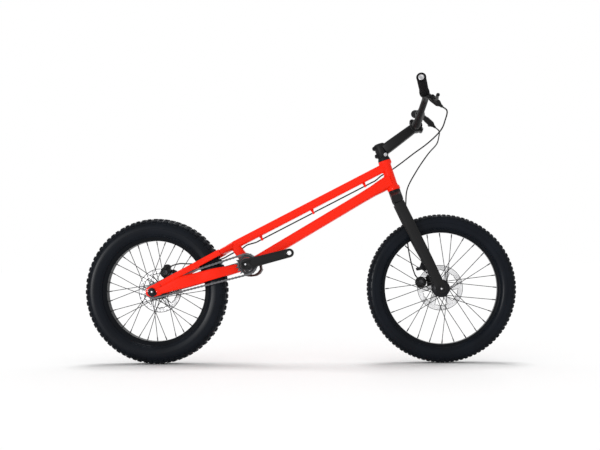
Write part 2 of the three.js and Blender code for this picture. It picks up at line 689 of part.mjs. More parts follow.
function buildWheels() {
  const front = placedGroup(frontAxle.x, frontAxle.z);
  part('front_tyre', tyreGeometry(frontTyre, frontRim), tyreRubber, front);
  part('front_rim', rimGeometry(frontTyre, frontRim), rimBlack, front);
  const frontHubShell = hubGeometry(frontHub, frontRotorLine, [[frontHub.rightShoulder, -frontHub.end]]);
  part('front_hub', join(frontHubShell, ...spokes(frontHub, frontTyre, frontRim)), hubBlack, front);
  part('front_rotor', rotorGeometry(frontRotorLine), steel, front);

  const rear = placedGroup(rearAxle.x, rearAxle.z);
  part('rear_tyre', tyreGeometry(rearTyre, rearRim), tyreRubber, rear);
  part('rear_rim', rimGeometry(rearTyre, rearRim), rimBlack, rear);
  const cogShoulder = chainLine - tooth.thick / 2 - gap;
  const pilot = rearHub.rightPilot;
  const rearHubShell = hubGeometry(rearHub, rearRotorLine, [
    [pilot, -rearHub.end], [pilot, -cogShoulder], [rearHub.rightShoulder, -cogShoulder],
  ]);
  part('rear_hub', join(rearHubShell, ...spokes(rearHub, rearTyre, rearRim)), hubBlack, rear);
  part('rear_rotor', rotorGeometry(rearRotorLine), steel, rear);
  buildAxle('rear', rearHubWidth / 2, dropout.thick + gap + snail.thick, (name, geometry, material) =>
    part(name, geometry, material, rear));
}

// Snail cams pull the rear axle back in its slot: a spiral plate outside each dropout
const snail = { thick: 3, least: 12, most: 19, steps: 11 };
const snailTurnShare = 0.94;

function buildSnailCams() {
  const outline = Array.from({ length: snail.steps }, (_, i) => {
    const share = i / (snail.steps - 1);
    const reach = THREE.MathUtils.lerp(snail.least, snail.most, share);
    const [x, z] = polar(reach, 2 * Math.PI * share * snailTurnShare);
    return [rearAxle.x + x, rearAxle.z + z];
  });
  const from = rearHubWidth / 2 + dropout.thick + gap;
  const hole = circle(rearAxle.x, rearAxle.z, axle.shank + gap, 12);
  const cam = plate(outline, from, from + snail.thick, [hole]);
  part('snail_cam_left', cam, blackMetal);
  part('snail_cam_right', mirrored(cam), blackMetal);
}

// Chain: plates alternate between outer and inner pairs, joined by rollers, in one closed run
const link = { rollerHalf: 2.7, high: 4, inner: 1.8, plate: 1.1 };
const tooth = { thick: 2.8, rootHalf: 2.2, tipHalf: 1, tip: 3.5 };
const loop = linksAround(chainstay);
const lineAngle = Math.atan2(bracketRise, bracket.x - rearAxle.x);
const upperTangent = lineAngle + Math.PI / 2 + loop.lean;
const lowerTangent = lineAngle - Math.PI / 2 - loop.lean;
const cogStart = loop.ringLinks + loop.runLinks;

// Middle of the pin that lies a number of links along the chain, from the top of the front sprocket
function pinPlace(count) {
  const onRing = (angle) => {
    const [x, z] = polar(ringRadius, angle);
    return at(bracket.x + x, -chainLine, bracket.z + z);
  };
  const onCog = (angle) => {
    const [x, z] = polar(cogRadius, angle);
    return at(rearAxle.x + x, -chainLine, rearAxle.z + z);
  };
  if (count <= loop.ringLinks) return onRing(upperTangent - (2 * Math.PI * count) / ringTeeth);
  if (count <= cogStart) {
    return onRing(lowerTangent).lerp(onCog(lowerTangent), (count - loop.ringLinks) / loop.runLinks);
  }
  const cogEnd = cogStart + loop.cogLinks;
  if (count <= cogEnd) return onCog(lowerTangent - (2 * Math.PI * (count - cogStart)) / cogTeeth);
  return onCog(upperTangent).lerp(onRing(upperTangent), (count - cogEnd) / loop.runLinks);
}

function chainGeometry() {
  const points = [];
  const faces = [];
  const quad = (a, b, c, d) => faces.push(a, b, c, a, c, d);
  for (let k = 0; k < chainLinks; k += 1) {
    const from = pinPlace(k);
    const to = pinPlace((k + 1) % chainLinks);
    const along = to.clone().sub(from);
    const length = along.length();
    along.normalize();
    const up = at(-along.z, 0, along.x);
    const inner = link.inner + (k % 2) * link.plate;
    [link.rollerHalf, length - link.rollerHalf].forEach((reach) => {
      [link.high, -link.high].forEach((rise) => {
        [-inner - link.plate, -inner, inner, inner + link.plate].forEach((y) => {
          points.push(from.clone().addScaledVector(along, reach).addScaledVector(up, rise).add(at(0, y, 0)));
        });
      });
    });
  }
  const stations = 2 * chainLinks;
  for (let s = 0; s < stations; s += 1) {
    const i = 8 * s;
    const j = 8 * ((s + 1) % stations);
    const roller = s % 2 === 1;
    quad(i, j, j + 1, i + 1);
    quad(i + 2, j + 2, j + 3, i + 3);
    quad(i + 4, i + 5, j + 5, j + 4);
    quad(i + 6, i + 7, j + 7, j + 6);
    quad(i, i + 4, j + 4, j);
    quad(i + 3, j + 3, j + 7, i + 7);
    if (roller) {
      quad(i + 1, j + 1, j + 2, i + 2);
      quad(i + 5, i + 6, j + 6, j + 5);
      quad(i + 1, i + 2, i + 6, i + 5);
      quad(j + 1, j + 5, j + 6, j + 2);
    } else {
      quad(i + 1, j + 1, j + 5, i + 5);
      quad(i + 2, i + 6, j + 6, j + 2);
    }
  }
  const geometry = new THREE.BufferGeometry().setFromPoints(points);
  geometry.setIndex(faces);
  return geometry;
}

function toothedPlate(teeth, radius, firstTooth, bore, boreFacets) {
  const half = Math.PI / teeth;
  const root = radius - link.high * Math.cos(half) - link.rollerHalf * Math.sin(half) - gap;
  const tip = radius + tooth.tip;
  const outline = [];
  for (let k = 0; k < teeth; k += 1) {
    const middle = firstTooth - (2 * Math.PI * k) / teeth;
    outline.push(
      polar(root, middle + tooth.rootHalf / root), polar(tip, middle + tooth.tipHalf / tip),
      polar(tip, middle - tooth.tipHalf / tip), polar(root, middle - tooth.rootHalf / root),
    );
  }
  return plate(outline, -tooth.thick / 2, tooth.thick / 2, [circle(0, 0, bore, boreFacets)]);
}

// Cranks: the right arm's boss carries the freewheel, whose toothed ring turns on its core
const crank = { boss: 18, tip: 15.5, thick: 13, pedalHole: 7.15, innerBoss: 15 };
const freewheel = { core: 24, ring: 30, half: 5, collar: 23, collarReach: 13 };
const cup = { flange: 20, flangeThick: 2.7, depth: 10 };

function buildDrive() {
  part('chain', chainGeometry(), chainSteel);
  const cogFirst = lowerTangent - (2 * Math.PI * (Math.ceil(cogStart) + 0.5 - cogStart)) / cogTeeth;
  const cogBore = boreFor(rearHub.rightPilot, hubFacets);
  const cog = toothedPlate(cogTeeth, cogRadius, cogFirst, cogBore, hubFacets);
  part('rear_cog', moved(cog, rearAxle.x, -chainLine, rearAxle.z), chainSteel);

  const ringFirst = upperTangent - Math.PI / ringTeeth;
  const ringBore = boreFor(freewheel.core, 12);
  const ringBody = turned([
    [ringBore, -freewheel.half], [freewheel.ring, -freewheel.half],
    [freewheel.ring, freewheel.half], [ringBore, freewheel.half],
  ], 12);
  const ring = join(toothedPlate(ringTeeth, ringRadius, ringFirst, ringBore, 12), ringBody);
  part('freewheel_ring', moved(ring, bracket.x, -chainLine, bracket.z), chainSteel);
  const coreBore = boreFor(crank.innerBoss, 12);
  const core = turned([
    [coreBore, -freewheel.collarReach], [freewheel.collar, -freewheel.collarReach],
    [freewheel.collar, -freewheel.half], [freewheel.core, -freewheel.half],
    [freewheel.core, freewheel.half], [coreBore, freewheel.half],
  ], 12);
  part('freewheel_core', moved(core, bracket.x, -chainLine, bracket.z), chainSteel);
}

function buildCranks() {
  const bossInner = shell.width / 2 + cup.flangeThick + 2 * gap;
  const outline = strap(0, 0, crank.boss, crankLength, 0, crank.tip, 6);
  const arm = plate(outline, crankInner, crankInner + crank.thick);
  const solid = cut(
    join(arm, bar(crank.innerBoss, bossInner, crankInner + gap, 12)),
    bar(boreFor(spindleRadius, 12), 0, overrun + crankInner, 12),
    moved(bar(crank.pedalHole, 0, overrun + crankInner, 12), crankLength, 0, 0),
  );
  const placed = (geometry, turn) =>
    moved(geometry.clone().rotateY(-turn), bracket.x, 0, bracket.z);
  part('crank_right', placed(mirrored(solid), crankTilt), blackMetal);
  part('crank_left', placed(solid, crankTilt + Math.PI), blackMetal);
  const end = crankInner + crank.thick;
  part('crank_spindle', moved(bar(spindleRadius, -end, end, 12), bracket.x, 0, bracket.z), steel);
  const half = shell.width / 2;
  const bore = boreFor(spindleRadius, 12);
  const bearing = turned([
    [bore, half - cup.depth], [shell.bore - gap, half - cup.depth], [shell.bore - gap, half + gap],
    [cup.flange, half + gap], [cup.flange, half + cup.flangeThick], [bore, half + cup.flangeThick],
  ], 12);
  part('bb_bearing_left', moved(bearing, bracket.x, 0, bracket.z), steel);
  part('bb_bearing_right', moved(mirrored(bearing), bracket.x, 0, bracket.z), steel);
}

// Everything below turns with the fork. Its group has z up the steering axis from the head tube's foot
const steering = placedGroup(headFoot.x, headFoot.z, -headLean);
const steeringPart = (name, geometry, material) => part(name, geometry, material, steering);
const axleDrop = at(forkOffset, 0, -forkLength);
const intoSteering = (geometry) => geometry.clone().translate(-headFoot.x, 0, -headFoot.z).rotateY(headLean);

// Fork: a crown with its steerer, and two legs
const crown = {
  race: 21, wide: 41, high: 26, middle: -21, legY: 57, low: -48.7, endHigh: 30, endDrop: 1, innerRise: 3,
  endShare: 0.9, steererBore: 11, steererInset: 2,
};
const leg = {
  top: -49, wide: 22, deep: 39, midShare: 0.45, midWide: 20, lowShare: 0.86, lowWide: 14, lowDeep: 37,
};
const foot = { radius: 17, inner: frontHubWidth / 2, outer: 60.3, hole: 5.3, tabInset: 1, tabStep: 4 };

function buildFork() {
  const low = crown.low + crown.endHigh / 2;
  const outer = crown.legY + leg.wide / 2;
  const inner = crown.legY - leg.wide / 2;
  const station = (y, middle, deep, high) => (
    { at: at(0, y, middle), wide: deep, high, along: at(0, 1, 0) });
  const side = (sign) => [
    station(sign * inner / 2, crown.middle, crown.wide, crown.high),
    station(sign * inner, low + crown.innerRise, leg.deep, crown.endHigh),
    station(sign * crown.legY, low, leg.deep, crown.endHigh),
    station(sign * outer, low - crown.endDrop, crown.endShare * leg.deep, crown.endShare * crown.endHigh),
  ];
  const arch = loft([...side(-1).toReversed(), ...side(1)], { power: 4, sides: 8, side: at(1, 0, 0) });
  const race = alongZ(turned([
    [0, crown.middle], [crown.race, crown.middle], [crown.race, -gap], [0, -gap],
  ], headFacets));
  const steererTop = headTubeLength + coverHeight + clampHeight - crown.steererInset;
  const steerer = alongZ(bar(steererRadius, crown.middle, steererTop, headFacets));
  const bore = alongZ(bar(crown.steererBore, -overrun - crown.race, steererTop + overrun, headFacets));
  steeringPart('fork_crown', cut(join(arch, race, steerer), bore), forkPaint);

  const legTop = at(0, crown.legY, leg.top);
  const legEnd = at(axleDrop.x, (foot.inner + foot.outer) / 2, axleDrop.z);
  const along = (share) => legTop.clone().lerp(legEnd, share);
  const blank = loft([
    { at: legTop, wide: leg.wide, high: leg.deep, along: at(0, 0, -1) },
    { at: along(leg.midShare), wide: leg.midWide, high: leg.deep },
    { at: along(leg.lowShare), wide: leg.lowWide, high: leg.lowDeep },
    { at: legEnd, wide: foot.outer - foot.inner, high: 2 * foot.radius },
  ], { power: 3, sides: 8, side: at(0, -1, 0) });
  const eye = moved(bar(foot.radius, foot.inner, foot.outer, 12), axleDrop.x, 0, axleDrop.z);
  const hole = moved(bar(foot.hole, 0, rearHubWidth, 10), axleDrop.x, 0, axleDrop.z);
  const tab = intoSteering(
    caliperTab(frontCaliperSpot, frontTabShares, foot.inner - foot.tabInset, foot.outer - foot.tabStep));
  const caliperRoom = bar(caliper.radius + gap, 0, frontRotorLine + caliper.outer + gap, 12);
  const clearCaliper = intoSteering(moved(caliperRoom, frontCaliperSpot.x, 0, frontCaliperSpot.z));
  steeringPart('fork_leg_right', mirrored(cut(join(blank, eye), hole)), forkPaint);
  steeringPart('fork_leg_left', cut(join(blank, eye, tab), hole, clearCaliper), forkPaint);
  buildAxle('front', foot.inner, foot.outer - foot.inner, (name, geometry, material) =>
    steeringPart(name, moved(geometry, axleDrop.x, 0, axleDrop.z), material));
}

// Stem, faceplate and headset cover
const cover = { foot: 22, head: 18, lip: 5 };
const stem = {
  clamp: 20.5, bodyFoot: 142.5, footWide: 40, high: 38, wide: 44, fullShare: 0.3, barHigh: 33, barWide: 46,
  clampWide: 52,
};
const pinch = { radius: 6.5, back: 21, half: 13, slit: 2, lowShare: 0.2, highShare: 0.82 };
const face = { radius: 21.5, ear: 22, earRadius: 7, split: 1, angle: THREE.MathUtils.degToRad(30.6) };
const cap = { plug: 4.6, radius: 17.5, top: 15.5, high: 3 };
const barCentre = at(stemReach, 0, stem.bodyFoot + stemRise);

function buildStem() {
  const low = headTubeLength + coverHeight;
  const top = low + clampHeight;
  const bore = boreFor(steererRadius, headFacets);
  steeringPart('headset_cover', alongZ(turned([
    [bore, headTubeLength + gap], [cover.foot, headTubeLength + gap],
    [cover.foot, headTubeLength + cover.lip], [cover.head, low - gap], [bore, low - gap],
  ], headFacets)), blackMetal);

  const clamp = alongZ(bar(stem.clamp, low, top, headFacets));
  const start = at(0, 0, stem.bodyFoot);
  const body = loft([
    { at: start, wide: stem.footWide, high: stem.high },
    { at: start.clone().lerp(barCentre, stem.fullShare), wide: stem.wide, high: stem.high },
    { at: barCentre, wide: stem.barWide, high: stem.barHigh },
  ], { power: 3.5, sides: 8 });
  const ears = [pinch.lowShare, pinch.highShare].map((share) => {
    const up = THREE.MathUtils.lerp(low, top, share);
    return moved(bar(pinch.radius, -pinch.half, pinch.half, 6), -pinch.back, 0, up);
  });
  const behind = -2 * pinch.back;
  const slit = plate([
    [behind, low - overrun], [0, low - overrun], [0, top + overrun], [behind, top + overrun],
  ], -pinch.slit / 2, pinch.slit / 2);
  const steererHole = alongZ(bar(bore, low - overrun, top + overrun, headFacets));
  const atBar = (geometry) => moved(geometry, barCentre.x, 0, barCentre.z);
  const barHole = atBar(bar(boreFor(barClampRadius, 12), -stem.wide, stem.wide, 12));
  const [earX, earZ] = [face.ear * Math.sin(face.angle), -face.ear * Math.cos(face.angle)];
  const earOutline = strap(earX, earZ, face.earRadius, -earX, -earZ, face.earRadius, 3);
  const barHousing = join(
    atBar(bar(face.radius, -stem.clampWide / 2, stem.clampWide / 2, 12)),
    atBar(plate(earOutline, -stem.clampWide / 2, stem.clampWide / 2)),
  );
  const halfSpace = (sign) => {
    const reach = 2 * face.ear + overrun;
    const edge = (sign * -face.split) / 2;
    const outline = [[edge, -reach], [sign * reach, -reach], [sign * reach, reach], [edge, reach]];
    return atBar(plate(outline, -stem.wide, stem.wide).rotateY(-face.angle));
  };
  const rearHalf = cut(barHousing, halfSpace(1));
  const frontHalf = cut(barHousing, halfSpace(-1));
  const bodyCut = cut(body, halfSpace(1));
  steeringPart('stem', cut(join(clamp, bodyCut, rearHalf, ...ears), steererHole, barHole, slit), blackMetal);
  steeringPart('stem_faceplate', cut(frontHalf, barHole), blackMetal);
  const plugRadius = crown.steererBore - gap;
  steeringPart('top_cap', alongZ(turned([
    [0, top - cap.plug], [plugRadius, top - cap.plug], [plugRadius, top + gap],
    [cap.radius, top + gap], [cap.top, top + cap.high], [0, top + cap.high],
  ], headFacets)), blackMetal);
}

// Handlebar: straight through the clamp, up to a bend on each side, then out to the grips
const bend = {
  riseX: 48.4, riseZ: 58.3, toEnd: 200, ease: 20, easeShare: 0.25, clampY: 34, kinkY: 46, taper: 14,
  taperShare: 0.86, endX: 37.8, endZ: 95.1,
};
const barEnd = at(barCentre.x + bend.endX, barWidth / 2, barCentre.z + bend.endZ);
const bendPoint = at(barCentre.x + bend.riseX, barEnd.y - bend.toEnd, barCentre.z + bend.riseZ);
const grip = { radius: 15.5, collar: 16.5, collarLong: 6, length: 128 };
const gripLine = barEnd.clone().sub(bendPoint).normalize();
const onGripLine = (fromEnd) => barEnd.clone().addScaledVector(gripLine, -fromEnd);

function buildBars() {
  const clampEdge = barCentre.clone().setY(bend.clampY);
  const kink = barCentre.clone().setY(bend.kinkY);
  const rise = bendPoint.clone().sub(kink).normalize();
  const round = (point, radius, rest) => ({ at: point, wide: 2 * radius, high: 2 * radius, ...rest });
  const besideBend = (before, after) =>
    bendPoint.clone().addScaledVector(rise, -before).addScaledVector(gripLine, after);
  const half = [
    round(clampEdge, barClampRadius),
    round(kink.addScaledVector(rise, bend.taper), barClampRadius * bend.taperShare),
    round(besideBend(bend.ease, 0), barEndRadius),
    round(besideBend(bend.easeShare * bend.ease, bend.easeShare * bend.ease), barEndRadius),
    round(besideBend(0, bend.ease), barEndRadius),
    round(barEnd, barEndRadius, { along: gripLine }),
  ];
  const backLine = at(-gripLine.x, gripLine.y, -gripLine.z);
  const flip = (station) => ({
    ...station,
    at: station.at.clone().setY(-station.at.y),
    ...(station.along && { along: backLine }),
  });
  const up = { sides: 8, side: at(0, 0, 1) };
  steeringPart('handlebar', loft([...half.toReversed().map(flip), ...half], up), blackMetal);
  const bore = boreFor(barEndRadius, 8);
  const sleeve = turned([
    [bore, -grip.length], [grip.radius, -grip.length], [grip.radius, -grip.collarLong],
    [grip.collar, 0], [bore, 0],
  ], 8);
  const turnOut = new THREE.Quaternion().setFromUnitVectors(at(0, 1, 0), gripLine);
  const gripShape = sleeve.applyQuaternion(turnOut).translate(...barEnd.toArray());
  steeringPart('grip_left', gripShape, foam);
  steeringPart('grip_right', mirrored(gripShape), foam);
}

// Brake levers, drawn for the left hand: x away from the bar, y out along it, z square to both
const lever = {
  fromEnd: 146, ring: 17, ringHalf: 7, root: 3, cylinder: 9, reach: 70, belly: 11, nose: 5, noseReach: 76,
};
const leverShares = { neck: 0.35, belly: 0.45, shoulder: 0.85 };
const hinge = {
  x: 36, y: 17, ear: 6.5, earHalf: 8.5, webBack: 6, web: 8, bladeHalf: 4.8, pin: 2.2, boss: 6, slotY: 9.5,
};
const bladeShares = [[0.56, 0.2, 1], [0.8, 0.36, 1], [0.86, 0.62, 1.05], [0.88, 0.88, 1], [1, 1.04, 0.8]];
const blade = { reach: 70, out: 100, thick: 8 };
const leverAim = at(0.5, 0, -0.866);
const leverOrigin = onGripLine(lever.fromEnd);
const leverOut = leverAim.clone().addScaledVector(gripLine, -leverAim.dot(gripLine)).normalize();
const leverSquare = leverOut.clone().cross(gripLine);
const leverFrame = new THREE.Matrix4().makeBasis(leverOut, gripLine, leverSquare).setPosition(leverOrigin);
const inLeverFrame = (geometry) => closed(geometry.clone().applyMatrix4(leverFrame));

function flatPlate(outline, from, to) {
  const shape = new THREE.Shape(outline.map(([x, y]) => new THREE.Vector2(x, y)));
  return new THREE.ExtrudeGeometry(shape, { depth: to - from, bevelEnabled: false }).translate(0, 0, from);
}

function buildLevers() {
  const ringBore = boreFor(barEndRadius, 8);
  const ring = turned([
    [ringBore, -lever.ringHalf], [lever.ring, -lever.ringHalf],
    [lever.ring, lever.ringHalf], [ringBore, lever.ringHalf],
  ], 8);
  const root = lever.ring - lever.root;
  const [neck, belly, shoulder] = Object.values(leverShares).map((share) => share * lever.reach);
  const body = alongX(turned([
    [0, root], [lever.cylinder, root], [lever.cylinder, neck], [lever.belly, belly],
    [lever.belly, shoulder], [lever.nose, lever.reach], [lever.nose, lever.noseReach], [0, lever.noseReach],
  ], 8));
  const web = strap(hinge.x - hinge.webBack, 0, hinge.web, hinge.x, hinge.y, hinge.ear, 3);
  const ears = flatPlate(web, -hinge.earHalf, hinge.earHalf);
  const mouth = flatPlate([
    [0, hinge.slotY], [2 * lever.reach, hinge.slotY], [2 * lever.reach, lever.reach], [0, lever.reach],
  ], -hinge.bladeHalf - gap, hinge.bladeHalf + gap);
  const upright = (radius, half) => moved(alongZ(bar(radius, -half, half, 6)), hinge.x, hinge.y, 0);
  const bodySolid = join(cut(join(ring, body, ears), mouth), upright(hinge.pin, hinge.earHalf));
  const bladeSolid = cut(
    join(
      loft(bladeShares.map(([x, y, size]) => ({
        at: at(x * blade.reach, y * blade.out, 0), wide: 2 * hinge.bladeHalf, high: size * blade.thick,
      })), { power: 3, sides: 8, side: at(0, 0, 1) }),
      upright(hinge.boss, hinge.bladeHalf),
    ),
    upright(boreFor(hinge.pin, 6), overrun),
  );
  [['lever_body', bodySolid], ['lever_blade', bladeSolid]].forEach(([name, geometry]) => {
    const placed = inLeverFrame(geometry);
    steeringPart(`${name}_left`, placed, blackMetal);
    steeringPart(`${name}_right`, mirrored(placed), blackMetal);
  });
}

// Brake hoses. Each ends radially in its caliper at a port's angle, and the rear one has two lengths
const frontPort = THREE.MathUtils.degToRad(110);
const rearPort = THREE.MathUtils.degToRad(50);
const port = { out: 49, straight: 10 };
const clipShares = [0.8, 0.14, 0.12];
const leadShare = 0.88;
const leadStraight = 15;

// Hose routes, by hand. The first two and the lead are in the steering group, x ahead of the axis;
// the second counts from the front caliper and the last from the bottom bracket
const frontHoseRoute = [
  [226, 205, 150], [205, 150, 122], [160, 90, 92], [100, 66, 45], [48, 66, -6], [28, 72, -50],
  [10, 75, -110],
];
const frontHoseFoot = [[1.2, 74, 148.7], [-8.8, 70, 83.7], [-10.8, 58, 38.7]];
const leadRoute = [
  [226, -200, 152], [208, -150, 132], [160, -85, 112], [100, -28, 97], [50, 14, 83], [12, 30, 73],
  [-25, 29, 66],
];
const rearHoseRoute = [
  [-6.8, 14, 68.7], [-24.8, 23, 57.7], [-68.8, 26, 36.7], [-96.8, 33, 22.7], [-131.8, 38.5, 14.7],
  [-171.8, 40, 8.7], [-206.8, 40.5, 4.7], [-236.8, 44, 4.7], [-261.8, 48, 5.7],
];

function buildHoses() {
  const intoSteeringPoint = (point) =>
    at(point.x - headFoot.x, point.y, point.z - headFoot.z).applyAxisAngle(at(0, 1, 0), headLean);
  const ends = (spot, angle) => [caliper.radius + port.straight, caliper.radius + gap].map((reach) => {
    const [x, z] = polar(reach, angle);
    return at(spot.x + x, port.out, spot.z + z);
  });
  const frontSpot = intoSteeringPoint(at(frontCaliperSpot.x, 0, frontCaliperSpot.z));
  const nose = leverOrigin.clone().addScaledVector(leverOut, lever.noseReach + gap);
  const start = [nose, nose.clone().addScaledVector(leverOut, hoseStraight)];
  steeringPart('front_hose', hose([
    ...start, ...frontHoseRoute.map((point) => at(...point)),
    ...frontHoseFoot.map((point) => at(...point).add(at(frontSpot.x, 0, frontSpot.z))),
    ...ends(frontSpot, frontPort),
  ]), hoseBlack);

  const clipped = underTopTube(leadShare);
  const alongTube = (ahead) => clipped.clone().addScaledVector(topTubeLine, ahead);
  steeringPart('rear_hose_lead', hose([
    ...start.map((point) => point.clone().setY(-point.y)), ...leadRoute.map((point) => at(...point)),
    intoSteeringPoint(alongTube(leadStraight)), intoSteeringPoint(alongTube(gap)),
  ]), hoseBlack);

  part('rear_hose', hose([
    alongTube(-gap), ...clipShares.map(underTopTube),
    ...rearHoseRoute.map(([x, y, z]) => at(bracket.x + x, y, bracket.z + z)),
    ...ends(rearCaliperSpot, rearPort),
  ]), hoseBlack);
}

buildHeadTube();
buildMainTubes();
buildStays();
buildSkidPlate();
buildWheels();
buildSnailCams();
buildDrive();
buildCranks();
buildFork();
buildStem();
buildBars();
buildLevers();
buildBrake('rear', rearAxle, rearCaliperAngle, rearRotorLine, part);
buildBrake('front', frontAxle, frontCaliperAngle, frontRotorLine, (name, geometry, material) =>
  steeringPart(name, intoSteering(geometry), material));
buildHoses();

export default bike;
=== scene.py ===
"""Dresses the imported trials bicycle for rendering: smooth forms, fine detail and materials.

Lengths are in millimetres inside the bicycle, with x from the rear axle, y to the left and z from
the ground, and angles are in radians. The function piece() turns lengths into metres in the frame
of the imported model.
"""

import json
from math import acos, asin, atan2, ceil, copysign, cos, hypot, pi, radians, sin, sqrt
from types import SimpleNamespace as Sizes

import bmesh
import bpy
import numpy as np
from mathutils import Matrix, Vector
from mathutils.geometry import tessellate_polygon


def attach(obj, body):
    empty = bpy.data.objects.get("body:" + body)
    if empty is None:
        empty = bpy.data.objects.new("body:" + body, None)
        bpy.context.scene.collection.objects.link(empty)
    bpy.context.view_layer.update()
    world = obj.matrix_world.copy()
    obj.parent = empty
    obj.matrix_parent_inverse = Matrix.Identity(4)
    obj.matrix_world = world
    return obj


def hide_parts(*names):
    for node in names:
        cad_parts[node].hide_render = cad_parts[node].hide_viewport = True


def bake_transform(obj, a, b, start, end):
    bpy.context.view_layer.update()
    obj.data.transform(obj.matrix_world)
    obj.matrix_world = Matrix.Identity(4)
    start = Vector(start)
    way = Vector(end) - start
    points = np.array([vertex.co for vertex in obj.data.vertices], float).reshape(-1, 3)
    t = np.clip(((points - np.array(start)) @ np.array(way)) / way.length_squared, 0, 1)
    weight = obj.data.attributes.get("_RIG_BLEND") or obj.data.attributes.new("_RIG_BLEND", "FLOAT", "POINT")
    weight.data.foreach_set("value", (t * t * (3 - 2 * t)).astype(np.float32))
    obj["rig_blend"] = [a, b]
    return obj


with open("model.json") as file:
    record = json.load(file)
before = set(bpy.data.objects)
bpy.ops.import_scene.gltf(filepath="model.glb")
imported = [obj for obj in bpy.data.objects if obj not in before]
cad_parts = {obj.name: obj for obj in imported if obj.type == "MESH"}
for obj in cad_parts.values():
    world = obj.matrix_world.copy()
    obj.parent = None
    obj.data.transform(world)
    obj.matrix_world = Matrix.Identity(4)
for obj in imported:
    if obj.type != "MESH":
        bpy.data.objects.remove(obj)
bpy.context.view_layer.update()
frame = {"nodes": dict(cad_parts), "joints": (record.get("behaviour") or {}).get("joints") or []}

MM = 0.001
JOINTS = {joint["name"]: joint for joint in frame["joints"]}
SHIFT = JOINTS["rear_wheel_spin"]["pos_m"][0] / MM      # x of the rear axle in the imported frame


def joint_place(name):
    x, _, z = JOINTS[name]["pos_m"]
    return Vector((x / MM - SHIFT, 0, z / MM))


# Driving dimensions, as in the part
WHEELBASE = 1016
REAR_RADIUS, FRONT_RADIUS = 261.5, 258.8
REAR_AXLE, FRONT_AXLE = Vector((0, 0, REAR_RADIUS)), Vector((WHEELBASE, 0, FRONT_RADIUS))
BRACKET, HEAD_FOOT = joint_place("crank_spin"), joint_place("steer")
HEAD_LEAN, HEAD_TUBE = radians(17.2), 109
STEERING = Matrix.Translation(HEAD_FOOT) @ Matrix.Rotation(-HEAD_LEAN, 4, "Y")
TO_STEERING = STEERING.inverted()
FORK_OFFSET, FORK_LENGTH = 45, 378
PITCH, RING_TEETH, COG_TEETH, CHAIN_LINE = 12.7, 18, 12, 46
ROTOR_RADIUS, ROTOR_THICK = 80, 1.8
DROPOUT_IN, DROPOUT_OUT, AXLE_HOLE = 58, 66, 5.3


# Shapes: a list of points in millimetres and a list of faces

def join(*shapes):
    points, faces = [], []
    for more_points, more_faces in shapes:
        base = len(points)
        points.extend(more_points)
        faces.extend([tuple(i + base for i in face) for face in more_faces])
    return points, faces


def transformed(shape, matrix):
    return [matrix @ Vector(p) for p in shape[0]], shape[1]


def moved(shape, x, y, z):
    return transformed(shape, Matrix.Translation((x, y, z)))


def axes(x, y, z, place):
    """Matrix that sets a shape along three axes at a place."""
    matrix = Matrix((x, y, z)).transposed().to_4x4()
    matrix.translation = place
    return matrix


def unchanged(shape):
    return shape


def mirrored(shape):
    return [Vector((x, -y, z)) for x, y, z in shape[0]], [face[::-1] for face in shape[1]]


SIDES = (("left", unchanged), ("right", mirrored))


def skin(rings, loop=False):
    """Faces over rings of points, all of one length; without loop the ends are capped."""
    sides = len(rings[0])
    faces = []
    for k in range(len(rings) if loop else len(rings) - 1):
        here, there = k * sides, (k + 1) % len(rings) * sides
        for j in range(sides):
            n = (j + 1) % sides
            faces.append((here + j, here + n, there + n, there + j))
    if not loop:
        end = (len(rings) - 1) * sides
        faces.append(tuple(reversed(range(sides))))
        faces.append(tuple(end + j for j in range(sides)))
    return [p for ring in rings for p in ring], faces


def section(wide, high, power, sides):
    """Points round a tube's section: power 2 is round, and a higher one is squarer."""
    def soft(value):
        return copysign(abs(value) ** (2 / power), value)
    angles = [2 * pi * (i + 0.5) / sides for i in range(sides)]
    return [(wide / 2 * soft(cos(a)), high / 2 * soft(sin(a))) for a in angles]


def heading(path, i):
    return (path[min(i + 1, len(path) - 1)] - path[max(i - 1, 0)]).normalized()


def loft(stations, power=2.0, sides=32, side=(0, 1, 0)):
    """Skin through stations (place, wide, high); wide lies towards the side vector."""
    side = Vector(side)
    path = [station[0] for station in stations]
    rings = []
    for i, (place, wide, high) in enumerate(stations):
        along = heading(path, i)
        across = (side - along * side.dot(along)).normalized()
        up = along.cross(across)
        rings.append([place + across * x + up * y for x, y in section(wide, high, power, sides)])
    return skin(rings)


def spline(values, count):
    """Smooth curve through rows of numbers, whose first three are a place."""
    rows = np.array([list(v) for v in values], float)
    rows = np.vstack([2 * rows[0] - rows[1], rows, 2 * rows[-1] - rows[-2]])
    steps = np.sqrt(np.linalg.norm(np.diff(rows[:, :3], axis=0), axis=1)) + 1e-6
    knots = np.concatenate([[0], np.cumsum(steps)])

    def between(t, start, end, p, q):
        return (end - t) / (end - start) * p + (t - start) / (end - start) * q

    out = []
    for t in np.linspace(knots[1], knots[-2], count):
        k = min(max(int(np.searchsorted(knots, t, side="right")) - 1, 1), len(rows) - 3)
        near, at = rows[k - 1:k + 3], knots[k - 1:k + 3]
        a, b, c = (between(t, at[i], at[i + 1], near[i], near[i + 1]) for i in range(3))
        before, after = between(t, at[0], at[2], a, b), between(t, at[1], at[3], b, c)
        out.append(between(t, at[1], at[2], before, after))
    return out


def smooth_loft(stations, count, power=2.0, sides=32, side=(0, 1, 0)):
    rows = spline([(*place, wide, high) for place, wide, high in stations], count)
    return loft([(Vector(r[:3]), r[3], r[4]) for r in rows], power, sides, side)


def tube(points, radius, sides, count=None):
    """Round bar along points, or along a smooth curve through them where count is given."""
    path = [Vector(r) for r in (spline(points, count) if count else points)]
    across = heading(path, 0).orthogonal()
    rings = []
    for i, place in enumerate(path):
        along = heading(path, i)
        across = (across - along * across.dot(along)).normalized()
        up = along.cross(across)
        rings.append([place + across * x + up * y for x, y in circle(0, 0, radius, sides)])
    return skin(rings)


